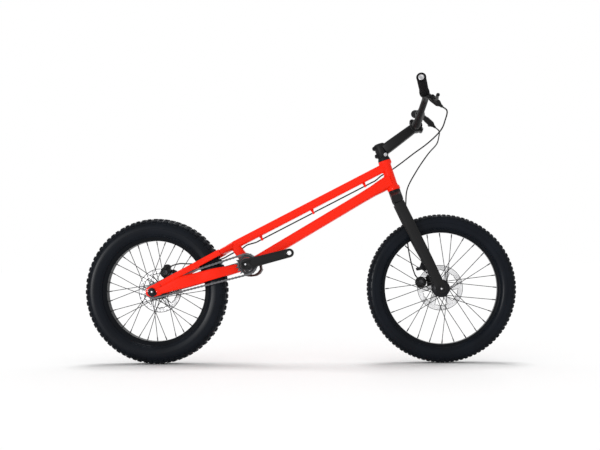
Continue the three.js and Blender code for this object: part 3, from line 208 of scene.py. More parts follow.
def turned(profile, angles):
    """Rings of a profile of (radius, y), one at each angle about the Y axis."""
    return [[Vector((r * cos(a), y, r * sin(a))) for r, y in profile] for a in angles]


def lathe(profile, facets):
    """Closed profile turned about the Y axis; points on the axis are welded later."""
    return skin(turned(profile, [2 * pi * k / facets for k in range(facets)]), loop=True)


def rod(radius, start, end, facets=32, edge=0.6):
    """Round bar along Y with a chamfer at both ends."""
    e = min(edge, radius / 2)
    low, high = min(start, end), max(start, end)
    return lathe([(0, low), (radius - e, low), (radius, low + e), (radius, high - e),
                  (radius - e, high), (0, high)], facets)


def screw(radius, socket, seat, face, facets=24):
    """Head of a screw from its seat to its face, with a hexagonal socket marked on the face."""
    return join(rod(radius, seat, face, facets),
                rod(socket, face, face + copysign(0.1, face - seat), 6))


def upright(shape):
    """Turns a shape made about Y so that its axis lies along Z."""
    return transformed(shape, Matrix.Rotation(pi / 2, 4, "X"))


def polar(radius, angle):
    return radius * cos(angle), radius * sin(angle)


def flat(outline, y0, y1, holes=()):
    """A plate between two y values; its outline and holes are in x and z."""
    loops = [list(outline)] + [list(hole) for hole in holes]
    count = sum(len(loop) for loop in loops)
    points = [Vector((x, y, z)) for y in (y0, y1) for loop in loops for x, z in loop]
    faces = []
    for a, b, c in tessellate_polygon([[Vector((x, z, 0)) for x, z in loop] for loop in loops]):
        faces += [(a, b, c), (c + count, b + count, a + count)]
    base = 0
    for loop in loops:
        for j in range(len(loop)):
            n = base + (j + 1) % len(loop)
            faces.append((base + j, n, n + count, base + j + count))
        base += len(loop)
    return points, faces


def arc(x, z, radius, start, end, count):
    """Points on an arc about (x, z), both ends included."""
    angles = [start + (end - start) * i / count for i in range(count + 1)]
    return [(x + radius * cos(a), z + radius * sin(a)) for a in angles]


def circle(x, z, radius, count):
    return arc(x, z, radius, 0, 2 * pi, count)[:-1]


def strap(x0, z0, r0, x1, z1, r1, count=12):
    """Outline round two circles and the straight lines that touch both."""
    way = atan2(z1 - z0, x1 - x0)
    lean = acos((r0 - r1) / hypot(x1 - x0, z1 - z0))
    return (arc(x1, z1, r1, way - lean, way + lean, count)
            + arc(x0, z0, r0, way + lean, way + 2 * pi - lean, count))


def around(place, outline, scale=1):
    """An outline set about a place, in x and z."""
    return [(place.x + x * scale, place.z + z * scale) for x, z in outline]


def round_corners(outline, radius, count):
    """Replaces each corner of an outline with a short curve."""
    out = []
    corners = [Vector((*corner, 0)) for corner in outline]
    for before, c, after in zip(corners[-1:] + corners, corners, corners[1:] + corners[:1]):
        a, b = before - c, after - c
        reach = min(radius, a.length * 0.45, b.length * 0.45)
        start, end = c + a.normalized() * reach, c + b.normalized() * reach
        for t in (k / count for k in range(count + 1)):
            p = start * (1 - t) ** 2 + c * 2 * t * (1 - t) + end * t ** 2
            out.append((p.x, p.y))
    return out


def two_sided(profile):
    """A profile of (radius, y) from one side through y = 0 to the other side."""
    return profile + [(r, -y) for r, y in reversed(profile[:-1])]


# Pieces in the scene

SAME_POINT = 0.00002            # metres
FLAT_ANGLE, BEVEL_ANGLE = radians(1), radians(32)
SLOTS = {}                      # the slot that each material belongs to


def add_object(name, data):
    obj = bpy.data.objects.new(name, data)
    bpy.context.scene.collection.objects.link(obj)
    return obj


def finish_mesh(obj, bevel, smooth, segments):
    """Turns faces outward, rounds sharp edges by bevel millimetres and smooths below an angle."""
    work = bmesh.new()
    work.from_mesh(obj.data)
    bmesh.ops.remove_doubles(work, verts=work.verts, dist=SAME_POINT)
    bmesh.ops.recalc_face_normals(work, faces=work.faces)
    work.to_mesh(obj.data)
    work.free()
    weld = obj.modifiers.new("weld", "WELD")
    weld.merge_threshold = SAME_POINT
    if bevel:
        flatten = obj.modifiers.new("flatten", "DECIMATE")
        flatten.decimate_type = "DISSOLVE"
        flatten.angle_limit = FLAT_ANGLE
        edge = obj.modifiers.new("edge", "BEVEL")
        edge.width = bevel * MM
        edge.segments = segments
        edge.limit_method = "ANGLE"
        edge.angle_limit = BEVEL_ANGLE
        edge.use_clamp_overlap = True
    depsgraph = bpy.context.evaluated_depsgraph_get()
    mesh, old = bpy.data.meshes.new_from_object(obj.evaluated_get(depsgraph)), obj.data
    obj.modifiers.clear()
    obj.data = mesh
    bpy.data.meshes.remove(old)
    mesh.shade_smooth()
    mesh.set_sharp_from_angle(angle=radians(smooth))


def mesh_piece(name, mesh, material, body, hides, slot, bevel, smooth, segments=2):
    obj = add_object(name, mesh)
    finish_mesh(obj, bevel, smooth, segments)
    obj.data.materials.append(material)
    slot = slot or SLOTS[material.name]
    if body:
        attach(obj, body)
    if hides:
        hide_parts(*hides)
    return obj


def piece(name, shape, material, body, hides=(), slot=None, bevel=0.0, smooth=35.0):
    """Adds a shape that rides on a body, and stands in for the CAD nodes that it hides."""
    mesh = bpy.data.meshes.new(name)
    mesh.from_pydata([((x + SHIFT) * MM, y * MM, z * MM) for x, y, z in shape[0]], [], shape[1])
    mesh.validate()
    return mesh_piece(name, mesh, material, body, hides, slot, bevel, smooth)


def stand_in(node, word, shape, material, body, **options):
    """Adds a shape that stands in for one CAD node and is named after it."""
    return piece(f"{node}_{word}", shape, material, body, [node], **options)


def softened(node, material, bevel=1.0, segments=2):
    """A copy of a CAD node in the frame, with rounded edges, which stands in for it."""
    name = node + "_soft"
    mesh = frame["nodes"][node].data.copy()
    mesh.name = name
    mesh.materials.clear()
    for attribute in list(mesh.attributes.keys()):
        if attribute.startswith("_") or attribute == "custom_normal":
            mesh.attributes.remove(mesh.attributes[attribute])
    mesh_piece(name, mesh, material, "frame", [node], None, bevel, 40, segments)


# Materials

def set_inputs(node, **values):
    for name, value in values.items():
        node.inputs[name.replace("_", " ")].default_value = value
    return node


def surface(name, slot, colour, spread=0.12, patch=25.0, rough=(0.35, 0.5), metallic=0.0,
            grain=900.0, bump=0.1, depth=0.05, stretch=(1, 1, 1), coat=0.0, coat_rough=0.1,
            specular=0.5, cells=False):
    """A finish whose colour varies in broad patches, and its roughness and relief in a grain."""
    material = bpy.data.materials.new(name)
    SLOTS[material.name] = slot
    material.use_nodes = True
    nodes, links = material.node_tree.nodes, material.node_tree.links

    def add(kind, **values):
        return set_inputs(nodes.new("ShaderNode" + kind), **values)

    shader = set_inputs(nodes["Principled BSDF"], Metallic=metallic, Coat_Weight=coat,
                        Coat_Roughness=coat_rough, Specular_IOR_Level=specular)
    place = add("TexCoord").outputs["Object"]
    mapping = add("Mapping", Scale=stretch)
    links.new(place, mapping.inputs["Vector"])
    broad = add("TexNoise", Scale=patch, Detail=4.0)
    links.new(place, broad.inputs["Vector"])
    ramp = add("ValToRGB")
    low, high = ramp.color_ramp.elements
    low.position, high.position = 0.3, 0.7
    low.color = (*[c * (1 - spread) for c in colour], 1)
    high.color = (*[min(c * (1 + spread), 1) for c in colour], 1)
    links.new(broad.outputs["Fac"], ramp.inputs["Fac"])
    links.new(ramp.outputs["Color"], shader.inputs["Base Color"])
    if cells:
        fine = add("TexVoronoi", Scale=grain)
        value = fine.outputs["Distance"]
    else:
        fine = add("TexNoise", Scale=grain, Detail=6.0)
        value = fine.outputs["Fac"]
    links.new(mapping.outputs["Vector"], fine.inputs["Vector"])
    spread_rough = add("MapRange", From_Min=0.3, From_Max=0.7, To_Min=rough[0], To_Max=rough[1])
    links.new(value, spread_rough.inputs["Value"])
    links.new(spread_rough.outputs["Result"], shader.inputs["Roughness"])
    raised = add("Bump", Strength=bump, Distance=depth * MM)
    links.new(value, raised.inputs["Height"])
    links.new(raised.outputs["Normal"], shader.inputs["Normal"])
    return material


red_paint = surface("red_paint", "frame_paint", (0.98, 0.018, 0.003), 0.03, rough=(0.28, 0.34),
                    grain=1400, bump=0.05, coat=0.12, coat_rough=0.08, specular=0.08)
satin_black = surface("satin_black", "black_metal", (0.006, 0.006, 0.0065), 0.2,
                      rough=(0.38, 0.5), grain=2500, bump=0.15, specular=0.15)
fork_black = surface("fork_black", "fork_paint", (0.009, 0.009, 0.0095), 0.1,
                     rough=(0.48, 0.6), grain=3000, bump=0.12, specular=0.15)
anodised = surface("anodised", "black_metal", (0.010, 0.010, 0.012), 0.2, rough=(0.3, 0.42),
                   metallic=0.4, grain=2200, specular=0.2)
sidewall = surface("sidewall", "tyre", (0.0040, 0.0058, 0.0095), 0.2, 14, (0.25, 0.31),
                   grain=1500, bump=0.05, depth=0.02, specular=0.10)
rubber = surface("rubber", "tyre", (0.0045, 0.0058, 0.0085), 0.3, 14, (0.45, 0.65),
                 grain=1500, bump=0.3, depth=0.08, specular=0.10)
rim_black = surface("rim_black", "rim_black", (0.0035, 0.0045, 0.0065), 0.15,
                    rough=(0.28, 0.38), grain=1800, bump=0.06, specular=0.08)
plug_grey = surface("plug_grey", "steel", (0.42, 0.42, 0.43), 0.2, 120, (0.3, 0.45), 0.8)
# Grey for a painted highlight: the ring at the crank boss's edge stands for the light its chamfer catches.
machined = surface("machined", "black_metal", (0.08, 0.08, 0.083), 0.1, rough=(0.6, 0.7),
                   grain=1500, specular=0.1)
chain_grey = surface("chain_grey", "chain_steel", (0.10, 0.10, 0.105), 0.3, 60, (0.35, 0.5), 0.8,
                     1800, 0.2, specular=0.2)
steel = surface("steel", "steel", (0.62, 0.62, 0.64), 0.08, rough=(0.2, 0.36), metallic=1.0,
                grain=700, stretch=(1, 6, 1), bump=0.12)
rotor_steel = surface("rotor_steel", "steel", (0.80, 0.80, 0.81), 0.1, rough=(0.24, 0.4),
                      metallic=1.0, grain=1200)
dark_steel = surface("dark_steel", "steel", (0.045, 0.045, 0.048), 0.3, 60, (0.28, 0.5), 0.9,
                     1800, 0.2, specular=0.2)
spoke_black = surface("spoke_black", "hub_black", (0.03, 0.03, 0.032), 0.1, rough=(0.4, 0.5),
                      metallic=0.2, specular=0.15)
foam = surface("foam", "foam", (0.007, 0.007, 0.0075), 0.25, 90, (0.8, 0.95), grain=1600,
               bump=0.6, depth=0.2, cells=True, specular=0.05)
hose_black = surface("hose_black", "hose", (0.006, 0.006, 0.0065), 0.15, rough=(0.38, 0.5),
                     grain=1200, specular=0.15)
skid_metal = surface("skid_metal", "skid_metal", (0.045, 0.016, 0.014), 0.35, 70, (0.35, 0.6),
                     0.6, bump=0.3, depth=0.1, specular=0.2)
sintered = surface("sintered", "pad_metal", (0.25, 0.17, 0.11), 0.3, 300, (0.6, 0.8), 0.5, 2500)


# Frame

def upward(line):
    """Square to a line that lies in the bicycle's middle plane."""
    return Vector((-line.z, 0, line.x))


HEAD_AXIS = (STEERING.to_3x3() @ Vector((0, 0, 1))).normalized()
SEAT_HEAD = BRACKET + Vector((-50, 0, 69))
TOP_HEAD, DOWN_HEAD = HEAD_FOOT + HEAD_AXIS * 88.3, HEAD_FOOT + HEAD_AXIS * 35.9
DOWN_FOOT = BRACKET + Vector((0, 0, -5))
TOP_LINE, DOWN_LINE = (TOP_HEAD - SEAT_HEAD).normalized(), (DOWN_HEAD - DOWN_FOOT).normalized()
TOP_UP = upward(TOP_LINE)
TOP_TUBE, TOP_SQUARE = (34, 29), 4.5        # width and height, and the power of the section
SEAT_TUBE, TUBE_SQUARE = (38, 33), 4
DOWN_TUBE = (46, 36)
DOWN_FLARE = ((125, *DOWN_TUBE), (75, 45, 38), (40, 42, 44), (0, 40, 48))   # below the head
GUIDE_SHARES = (0.16, 0.5, 0.84)            # along the top tube
GUIDE = ((-4.5, 8, 8), (4.5, 8, 8), (13, 9.5, 13))      # above the hose, width, length
HOSE_BELOW, HOSE_ASIDE = 11.5, 9            # below the top tube, left of its middle
HOSE_RADIUS = 2.4
SHELL = [(17.5, -36.5), (19.5, -36.5), (20.5, -35.5), (20.5, 35.5), (19.5, 36.5), (17.5, 36.5)]
HEAD = [(20.5, 0), (22.4, 0), (23, 0.8), (23, 10), (22.2, 12), (19, 16), (18, 19), (18, 90),
        (19, 93), (22.2, 97), (23, 99), (23, HEAD_TUBE - 0.8), (22.4, HEAD_TUBE),
        (20.5, HEAD_TUBE), (20.5, 101), (16, 101), (16, 8), (20.5, 8)]
WELD_REACH, WELD_RADIUS, WELD_PITCH = 18.6, 2.0, 3.2


def painted(name, shape, hides=(), bevel=0.0, smooth=40.0):
    piece(name, shape, red_paint, "frame", hides, bevel=bevel, smooth=smooth)


def under_top_tube(share):
    """Place of the rear hose, a share of the way along the top tube."""
    place = SEAT_HEAD.lerp(TOP_HEAD, share) + TOP_UP * (-TOP_TUBE[1] / 2 - HOSE_BELOW)
    return Vector((place.x, HOSE_ASIDE, place.z))


def weld_bead(place, line, wide, high, power):
    """Overlapping drops where a tube meets the head tube, as a welder leaves them."""
    level = (line - HEAD_AXIS * line.dot(HEAD_AXIS)).normalized()
    path = []
    for x, y in section(wide, high, power, 48):
        p = place + Vector((0, x, 0)) + upward(line) * y
        out = p - HEAD_FOOT
        out -= HEAD_AXIS * out.dot(HEAD_AXIS)
        want = -sqrt(max(WELD_REACH ** 2 - out.y ** 2, 0))
        path.append(p + line * ((want - out.dot(level)) / line.dot(level)))
    path.append(path[0])
    total = sum((b - a).length for a, b in zip(path, path[1:]))
    drop = lathe([(WELD_RADIUS * r, WELD_RADIUS * y) for r, y in (
        (0, -0.7), (0.75, -0.5), (1, 0), (0.75, 0.5), (0, 0.7))], 8)
    return join(*[moved(drop, *row[:3]) for row in spline(path, int(total / WELD_PITCH))])


def frame_tubes():
    top = loft([(place, *TOP_TUBE) for place in (SEAT_HEAD, TOP_HEAD)], TOP_SQUARE, 40)
    guides = [loft([(under_top_tube(share) + TOP_UP * up, wide, long) for up, wide, long in GUIDE],
                   TUBE_SQUARE, 16) for share in GUIDE_SHARES]
    painted("top_tube_smooth", join(top, *guides), ["top_tube"])
    down = [(DOWN_HEAD - DOWN_LINE * below, wide, high) for below, wide, high in DOWN_FLARE]
    painted("down_tube_smooth", loft([(DOWN_FOOT, *DOWN_TUBE)] + down, TUBE_SQUARE, 40),
            ["down_tube"])
    seat = loft([(place, *SEAT_TUBE) for place in (BRACKET, SEAT_HEAD)], TUBE_SQUARE, 40)
    painted("seat_tube_smooth", seat, ["seat_tube"])
    softened("seat_yoke", red_paint, 3.0, 3)
    painted("bb_shell_smooth", moved(lathe(SHELL, 64), *BRACKET), ["bb_shell"], smooth=35)
    head = transformed(upright(lathe(HEAD, 64)), STEERING)
    painted("head_tube_smooth", head, ["head_tube"], smooth=35)
    painted("weld_beads", join(weld_bead(TOP_HEAD, TOP_LINE, *TOP_TUBE, TOP_SQUARE),
                               weld_bead(DOWN_HEAD, DOWN_LINE, *DOWN_FLARE[-1][1:], TUBE_SQUARE)),
            smooth=60)


STAY_WIDE, STAY_HIGH, STAY_SLOPE, STAY_ABOVE = 15.0, 21.0, 0.516, 11.7
AT_DROPOUT, AT_TYRE = 60.5, 51.5            # of a stay's middle from the bicycle's
STAY_REAR, STAY_FRONT = 30.3, 242.7
CHAINSTAY = (BRACKET - REAR_AXLE).length
# Along the chainstay, above its line and height, as shares of its length, and the way out
CHAINSTAY_ROWS = ((0.083, -0.013, 0.073, 1), (0.29, 0.0066, 0.12, 1), (0.4, 0.005, 0.119, 0.72),
                  (0.49, 0.003, 0.117, 0.06), (0.67, 0, 0.108, 0), (0.77, -0.005, 0.097, -0.22),
                  (0.87, -0.009, 0.087, -0.45), (0.94, -0.009, 0.085, -0.53))
SEATSTAY_ROWS = ((0, 1), (0.3, 1), (0.52, 0.78), (0.68, 0.08), (1, 0))      # along, way out
DROPOUT_SCALE, SLOT_AHEAD, SLOT_BEHIND = 30, 8, 3
DROPOUT = ((-0.8, 0.07), (-0.7, -0.4), (-0.3, -0.6), (0.3, -0.58), (1.1, -0.37), (1, 0.3),
           (1, 1.3), (0.35, 0.92), (-0.35, 0.62), (-0.72, 0.35))
TAB_PLACE, TAB_SCALE = Vector((23.4, 0, 327.5)), 20
TAB = ((0.6, -1.5), (2.1, -0.5), (1.4, 0.55), (0.98, 0.2), (0.75, -0.66), (0.3, -0.95))


def stay_out(share):
    """Distance from the middle: 1 at the dropout, 0 beside the tyre and -1 in the middle."""
    if share < 0:
        return AT_TYRE * (1 + share)
    return AT_TYRE + (AT_DROPOUT - AT_TYRE) * share


def stays():
    line = BRACKET - REAR_AXLE
    chainstay = smooth_loft([
        (REAR_AXLE + line * share + Vector((0, stay_out(out), off * CHAINSTAY)), STAY_WIDE,
         high * CHAINSTAY) for share, off, high, out in CHAINSTAY_ROWS], 40, TUBE_SQUARE, 28)
    seatstay = []
    for share, out in SEATSTAY_ROWS:
        x = STAY_REAR + (STAY_FRONT - STAY_REAR) * share
        place = Vector((x, stay_out(out), REAR_AXLE.z + STAY_ABOVE + STAY_SLOPE * x))
        seatstay.append((place, STAY_WIDE, STAY_HIGH))
    seatstay = smooth_loft(seatstay, 30, TUBE_SQUARE, 28)
    slot = around(REAR_AXLE, [(-SLOT_BEHIND, AXLE_HOLE),
                              *arc(SLOT_AHEAD, 0, AXLE_HOLE, pi / 2, -pi / 2, 9),
                              (-SLOT_BEHIND, -AXLE_HOLE)])
    outline = round_corners(around(REAR_AXLE, DROPOUT, DROPOUT_SCALE), 3, 4)
    dropout = flat(outline, DROPOUT_IN, DROPOUT_OUT, [slot])
    for side, flip in SIDES:
        painted(f"chainstay_{side}_smooth", flip(chainstay), [f"chainstay_{side}"])
        painted(f"dropout_{side}", flip(dropout), bevel=0.8)
    painted("seatstay_right_smooth", mirrored(seatstay), ["seatstay_right"])
    painted("seatstay_left_smooth", seatstay, ["seatstay_left"])
    tab = flat(round_corners(around(TAB_PLACE, TAB, TAB_SCALE), 2, 3), 54.5, 60)
    painted("rear_brake_tab", tab, bevel=0.6)


frame_tubes()
stays()
softened("skid_plate", skid_metal)


# Wheels

FRONT_HUB = Sizes(bore=8.1, flange=31, line=25, barrel=14, seat=22, pilot=13, end=46,
                  right_pilot=18, shoulder=18, right_line=38, rotor_face=36.8, spokes=28,
                  crosses=2)
REAR_HUB = Sizes(bore=8.1, flange=31, line=30, barrel=17, seat=21, pilot=13, end=54,
                 right_pilot=17, shoulder=19.4, right_line=44.3, rotor_face=43.8, spokes=32,
                 crosses=3)
# Each wheel gives the width of the dark rim of painted shade round its rotor's edges, wider on the rear
# rotor.
FRONT = Sizes(name="front", axle=FRONT_AXLE, radius=FRONT_RADIUS, wide=57, knob=4, rows=96,
              bead=203, rim_wide=36, hole=194.3, rotor=38, rotor_edge=1.7, hub=FRONT_HUB)
REAR = Sizes(name="rear", axle=REAR_AXLE, radius=REAR_RADIUS, wide=64, knob=5.5, rows=76,
             bead=193.5, rim_wide=46, hole=180.9, rotor=45, rotor_edge=2.7, hub=REAR_HUB)
WHEELS = (FRONT, REAR)
BLOCK_SHARE = 0.65              # of the tread's depth in the part
CASING_THICK, TREAD_SHARE = 3.2, 0.36
# Blocks of each second row: their turn, offset, width, length and height as shares, the
# millimetres that their height lacks, and their skew
BLOCKS = (((0.04, 0.17, 0.27, 0.66, 1, 0.4, 0), (0, 0.83, 0.27, 0.74, 0.95, 0, 0.12),
           (0, 1.12, 0.2, 0.66, 0.5, 0, 0)),
          ((0, 0.47, 0.27, 0.66, 0.97, 0, -0.2), (0, 0.93, 0.26, 0.66, 0.9, 0, 0)))
RIDGE_SHARES = (0.12, 0.17, 0.46)           # up the sidewall
FLAT_FACETS = 160


def wheel_piece(w, node, word, shape, material, replace=True, **options):
    node = f"{w.name}_{node}"
    piece(f"{node}_{word}", moved(shape, *w.axle), material, f"{w.name}_wheel",
          [node] if replace else (), **options)


def tyre(w):
    """Casing with fine ridges, and a tread of separate blocks in rows of two kinds."""
    half, depth = w.wide / 2, w.radius - w.bead
    knob, seat = w.knob * BLOCK_SHARE, w.rim_wide / 2 - 3.1
    tread = w.radius - knob
    side = [(w.bead + 0.3, seat, 0), (w.bead + 0.1 * depth, seat + (half - seat) * 0.62, 0),
            (w.bead + 0.3 * depth, half * 0.955, 0), (w.bead + 0.5 * depth, half - 0.6, 0),
            (w.radius - 0.3 * depth, half * 0.93, 0), (tread - 0.09 * depth, half * 0.74, 0),
            (tread - 0.01 * depth, half * 0.42, 0), (tread + 0.3, 0, 0)]
    side += [(r, -y, 0) for r, y, _ in reversed(side[:-1])]
    outer = [tuple(row[:2]) for row in spline(side, 49)]
    inner = [(r - CASING_THICK if abs(y) < w.wide * TREAD_SHARE else r, y * 0.86)
             for r, y in reversed(outer[3:-3])]
    ridges = []
    for share in RIDGE_SHARES:
        r = w.bead + share * depth
        for sign in (-1, 1):
            y = sign * np.interp(r, *zip(*outer[:20]))
            ridges.append(lathe([(r - 0.7, y - sign * 0.6), (r, y + sign * 0.45),
                                 (r + 0.7, y - sign * 0.6)], FLAT_FACETS))
    across = np.array(outer)
    reach = np.concatenate([[0], np.cumsum(np.linalg.norm(np.diff(across, axis=0), axis=1))])

    def on_casing(s):
        return np.array([np.interp(s, reach, across[:, 0]), np.interp(s, reach, across[:, 1])])

    def block(angle, offset, wide, long, high, skew):
        s = reach[-1] / 2 + offset
        place = on_casing(s)
        tangent = on_casing(s + 1) - on_casing(s - 1)
        tangent /= np.linalg.norm(tangent)
        normal = np.array([abs(tangent[1]), -tangent[0] * copysign(1, tangent[1])])
        rings = []
        for level, share in ((-1.2, 1.06), (high * 0.8, 0.92), (high, 0.8)):
            ring = []
            for sx, sz in ((-1, -1), (1, -1), (1, 1), (-1, 1)):
                p = place + tangent * (sx * wide / 2 * share) + normal * level
                turn = (sz * long / 2 * share + skew * sx * wide / 2) / w.radius
                x, z = polar(p[0], angle + turn)
                ring.append(Vector((x, p[1], z)))
            rings.append(ring)
        return skin(rings)

    blocks = []
    pitch = 2 * pi / w.rows
    for k in range(w.rows):
        for sign in (-1, 1):
            for turn, offset, wide, long, high, less, skew in BLOCKS[k % 2]:
                blocks.append(block(k * pitch + pi / 2 + sign * turn * pitch,
                                    sign * half * offset, half * wide, w.radius * pitch * long,
                                    knob * high - less, skew * sign))
    wheel_piece(w, "tyre", "casing", join(lathe(outer + inner, FLAT_FACETS), *ridges), sidewall,
                smooth=38)
    wheel_piece(w, "tyre", "blocks", join(*blocks), rubber, False, smooth=38)


def rim(w):
    """Two walls, the well between them and the box that the spokes enter."""
    half, bead, hole = w.rim_wide / 2, w.bead, w.hole
    side = [(bead + 6, half), (bead + 6.6, half - 0.8), (bead + 6, half - 1.6),
            (bead, half - 2.4), (bead - 2, half - 5), (hole + 4, 0.24 * w.rim_wide),
            (hole + 3.5, 0)]
    foot = [(hole, 0), (hole, 0.34 * w.rim_wide), (hole + 0.7, 0.362 * w.rim_wide),
            (bead + 4.5, half - 0.25), (bead + 5.5, half)]
    shape = lathe(two_sided(side) + [(r, -y) for r, y in reversed(foot[1:])] + foot, 144)
    wheel_piece(w, "rim", "smooth", shape, rim_black, smooth=30)


SPOKE_RADIUS, SPOKE_ASIDE, ELBOW = 1.25, 1.4, 3.0
NIPPLE = ((0, 3.0), (0.15, 4.0), (1, 4.2))          # along it, and diameter
NIPPLE_LONG = 13


def spoke_lines(h, hole):
    """Foot and head of each spoke and the way it leans, laid out as in the part."""
    spacing = 4 * pi / h.spokes
    for side in (1, -1):
        for i in range(h.spokes // 2):
            way = 1 if i % 2 else -1
            hub_angle = spacing * (i + (0 if side > 0 else 0.5))
            hx, hz = polar(0.86 * h.flange, hub_angle)
            rx, rz = polar(hole - 1.5, hub_angle + way * h.crosses * spacing)
            yield (Vector((hx, side * h.line + way * SPOKE_ASIDE, hz)),
                   Vector((rx, side * 3 + way * SPOKE_ASIDE, rz)), way)


def hub(w):
    """Hub shell with two flanges, and spokes with elbows and nipples."""
    h = w.hub
    flange = [(h.flange - 6, 2.4), (h.flange - 0.8, 2.2), (h.flange, 1.4)]
    flange = [(r, -y) for r, y in flange] + flange[::-1]
    shell = lathe([
        (h.bore, -h.end), (h.right_pilot - 0.6, -h.end), (h.right_pilot, -h.end + 0.6),
        (h.right_pilot, -h.right_line), (h.shoulder, -h.right_line), (h.shoulder, -h.line - 5),
        *[(r, y - h.line) for r, y in flange],
        (h.barrel + 3, -h.line + 6), (h.barrel, -h.line + 12),
        (h.barrel, h.line - 12), (h.barrel + 3, h.line - 6),
        *[(r, y + h.line) for r, y in flange],
        (h.seat, h.line + 4), (h.seat, h.rotor_face), (h.pilot, h.rotor_face),
        (h.pilot, h.end - 0.6), (h.pilot - 0.6, h.end), (h.bore, h.end)], 72)
    wires, nipples = [], []
    for foot, head, way in spoke_lines(h, w.hole):
        elbow = foot - Vector((0, way * ELBOW, 0))
        wires.append(tube([elbow, foot, foot.lerp(head, 0.02), head], SPOKE_RADIUS, 8))
        start = head.lerp(foot, NIPPLE_LONG / (head - foot).length)
        nipples.append(loft([(start.lerp(head, share), wide, wide) for share, wide in NIPPLE],
                            2, 8, (0.3, 0.1, 0.9)))
    wheel_piece(w, "hub", "smooth", shell, anodised, slot="hub_black", smooth=35)
    wheel_piece(w, "hub", "spokes", join(*wires), spoke_black, False, smooth=60)
    wheel_piece(w, "hub", "nipples", join(*nipples), dark_steel, False, slot="hub_black",
                smooth=50)


ARMS, DRILLED, ROTOR_BORE = 6, 36, 13.3
WINDOW_IN, WINDOW_OUT, BOLT_CIRCLE = 24, 62, 19


def ribbon(loop, wide, line, half):
    """A thin frame round a closed outline, wide millimetres outside it, or inside below zero."""
    area = sum(x0 * z1 - x1 * z0 for (x0, z0), (x1, z1) in zip(loop[-1:] + loop, loop))
    wide = copysign(1, area) * wide
    rings = []
    for (x0, z0), (x, z), (x1, z1) in zip(loop[-1:] + loop, loop, loop[1:] + loop[:1]):
        long = hypot(x1 - x0, z1 - z0)
        out = (x + wide * (z1 - z0) / long, z - wide * (x1 - x0) / long)
        rings.append([Vector((a, line + y, b)) for (a, b), y in (
            ((x, z), -half), (out, -half), (out, half), ((x, z), half))])
    return skin(rings, loop=True)


def rotor(w):
    """Brake disc: drilled band, wavy inner edge, slanted arms and a carrier with bolts; dark rims round its
    edges are painted shade.
    """
    step = 2 * pi / ARMS
    windows, drilled, bolts = [], [], []
    for i in range(ARMS):
        outer = [polar(WINDOW_OUT + 1.6 * cos(6 * pi * t), step * (i + 0.22 + 0.7 * t))
                 for t in np.linspace(0, 1, 12)]
        windows.append(outer + [polar(WINDOW_IN, step * (i + t)) for t in (0.55, 0.28, 0.02)])
        x, z = polar(BOLT_CIRCLE, step * (i + 0.3))
        bolts.append(moved(screw(3.4, 1.6, w.rotor + 0.9, w.rotor + 3, 20), x, 0, z))
    for i in range(DRILLED):
        reach = 68.2 + 4.6 * (i % 3 - 1) + 2.6
        drilled.append(circle(*polar(reach, 2 * pi * i / DRILLED), 2.6 if i % 3 else 2.1, 12))
    band = circle(0, 0, ROTOR_RADIUS, 120)
    half = ROTOR_THICK / 2
    disc = flat(band, w.rotor - half, w.rotor + half,
                [circle(0, 0, ROTOR_BORE, 40), *windows, *drilled])
    # Dark steel rims round the outer edge, the windows and the drilled holes are painted shade along those
    # edges.
    lines = [(band, -1)] + [(loop, 1) for loop in windows] + [(loop, 0.4) for loop in drilled]
    edges = [ribbon(loop, wide * w.rotor_edge, w.rotor, half + 0.04) for loop, wide in lines]
    wheel_piece(w, "rotor", "drilled", disc, rotor_steel, smooth=30)
    wheel_piece(w, "rotor", "edges", join(*edges), dark_steel, False, smooth=30)
    wheel_piece(w, "rotor", "bolts", join(*bolts), dark_steel, False, smooth=30)


for make in (tyre, rim, hub, rotor):
    for wheel in WHEELS:
        make(wheel)


# Drive

RING_RADIUS, COG_RADIUS = (PITCH / (2 * sin(pi / teeth)) for teeth in (RING_TEETH, COG_TEETH))
LOOP_LEAN = asin((RING_RADIUS - COG_RADIUS) / CHAINSTAY)
LINE_ANGLE = atan2(BRACKET.z - REAR_AXLE.z, BRACKET.x - REAR_AXLE.x)
UPPER, LOWER = LINE_ANGLE + pi / 2 + LOOP_LEAN, LINE_ANGLE - pi / 2 - LOOP_LEAN
RING_LINKS = RING_TEETH * (pi + 2 * LOOP_LEAN) / (2 * pi)
COG_LINKS = COG_TEETH * (pi - 2 * LOOP_LEAN) / (2 * pi)
RUN_LINKS = sqrt(CHAINSTAY ** 2 - (RING_RADIUS - COG_RADIUS) ** 2) / PITCH
COG_START = RING_LINKS + RUN_LINKS          # links before the chain meets the cog
COG_END = COG_START + COG_LINKS
CHAIN_LINKS = round(COG_END + RUN_LINKS)
PLATE_RADIUS, WAIST, PLATE_THICK, ROLLER = 4.0, 2.7, 0.95, 3.7
GAP_RADIUS, GAP_HALF = 4.0, 1.15            # of the gap between teeth, and half its arc
INNER_PLATE, OUTER_PLATE = 1.9, 2.9
PIN_RADIUS, PIN_REACH = 1.7, 3.95


def pin_place(count):
    """Place of a pin, counted in links from where the chain meets the ring."""
    def on(centre, radius, angle):
        x, z = polar(radius, angle)
        return Vector((centre.x + x, -CHAIN_LINE, centre.z + z))
    if count <= RING_LINKS:
        return on(BRACKET, RING_RADIUS, UPPER - 2 * pi * count / RING_TEETH)
    if COG_START < count <= COG_END:
        return on(REAR_AXLE, COG_RADIUS, LOWER - 2 * pi * (count - COG_START) / COG_TEETH)
    ring, cog = [(BRACKET, RING_RADIUS), (REAR_AXLE, COG_RADIUS)]
    if count <= COG_START:
        return on(*ring, LOWER).lerp(on(*cog, LOWER), (count - RING_LINKS) / RUN_LINKS)
    return on(*cog, UPPER).lerp(on(*ring, UPPER), (count - COG_END) / RUN_LINKS)


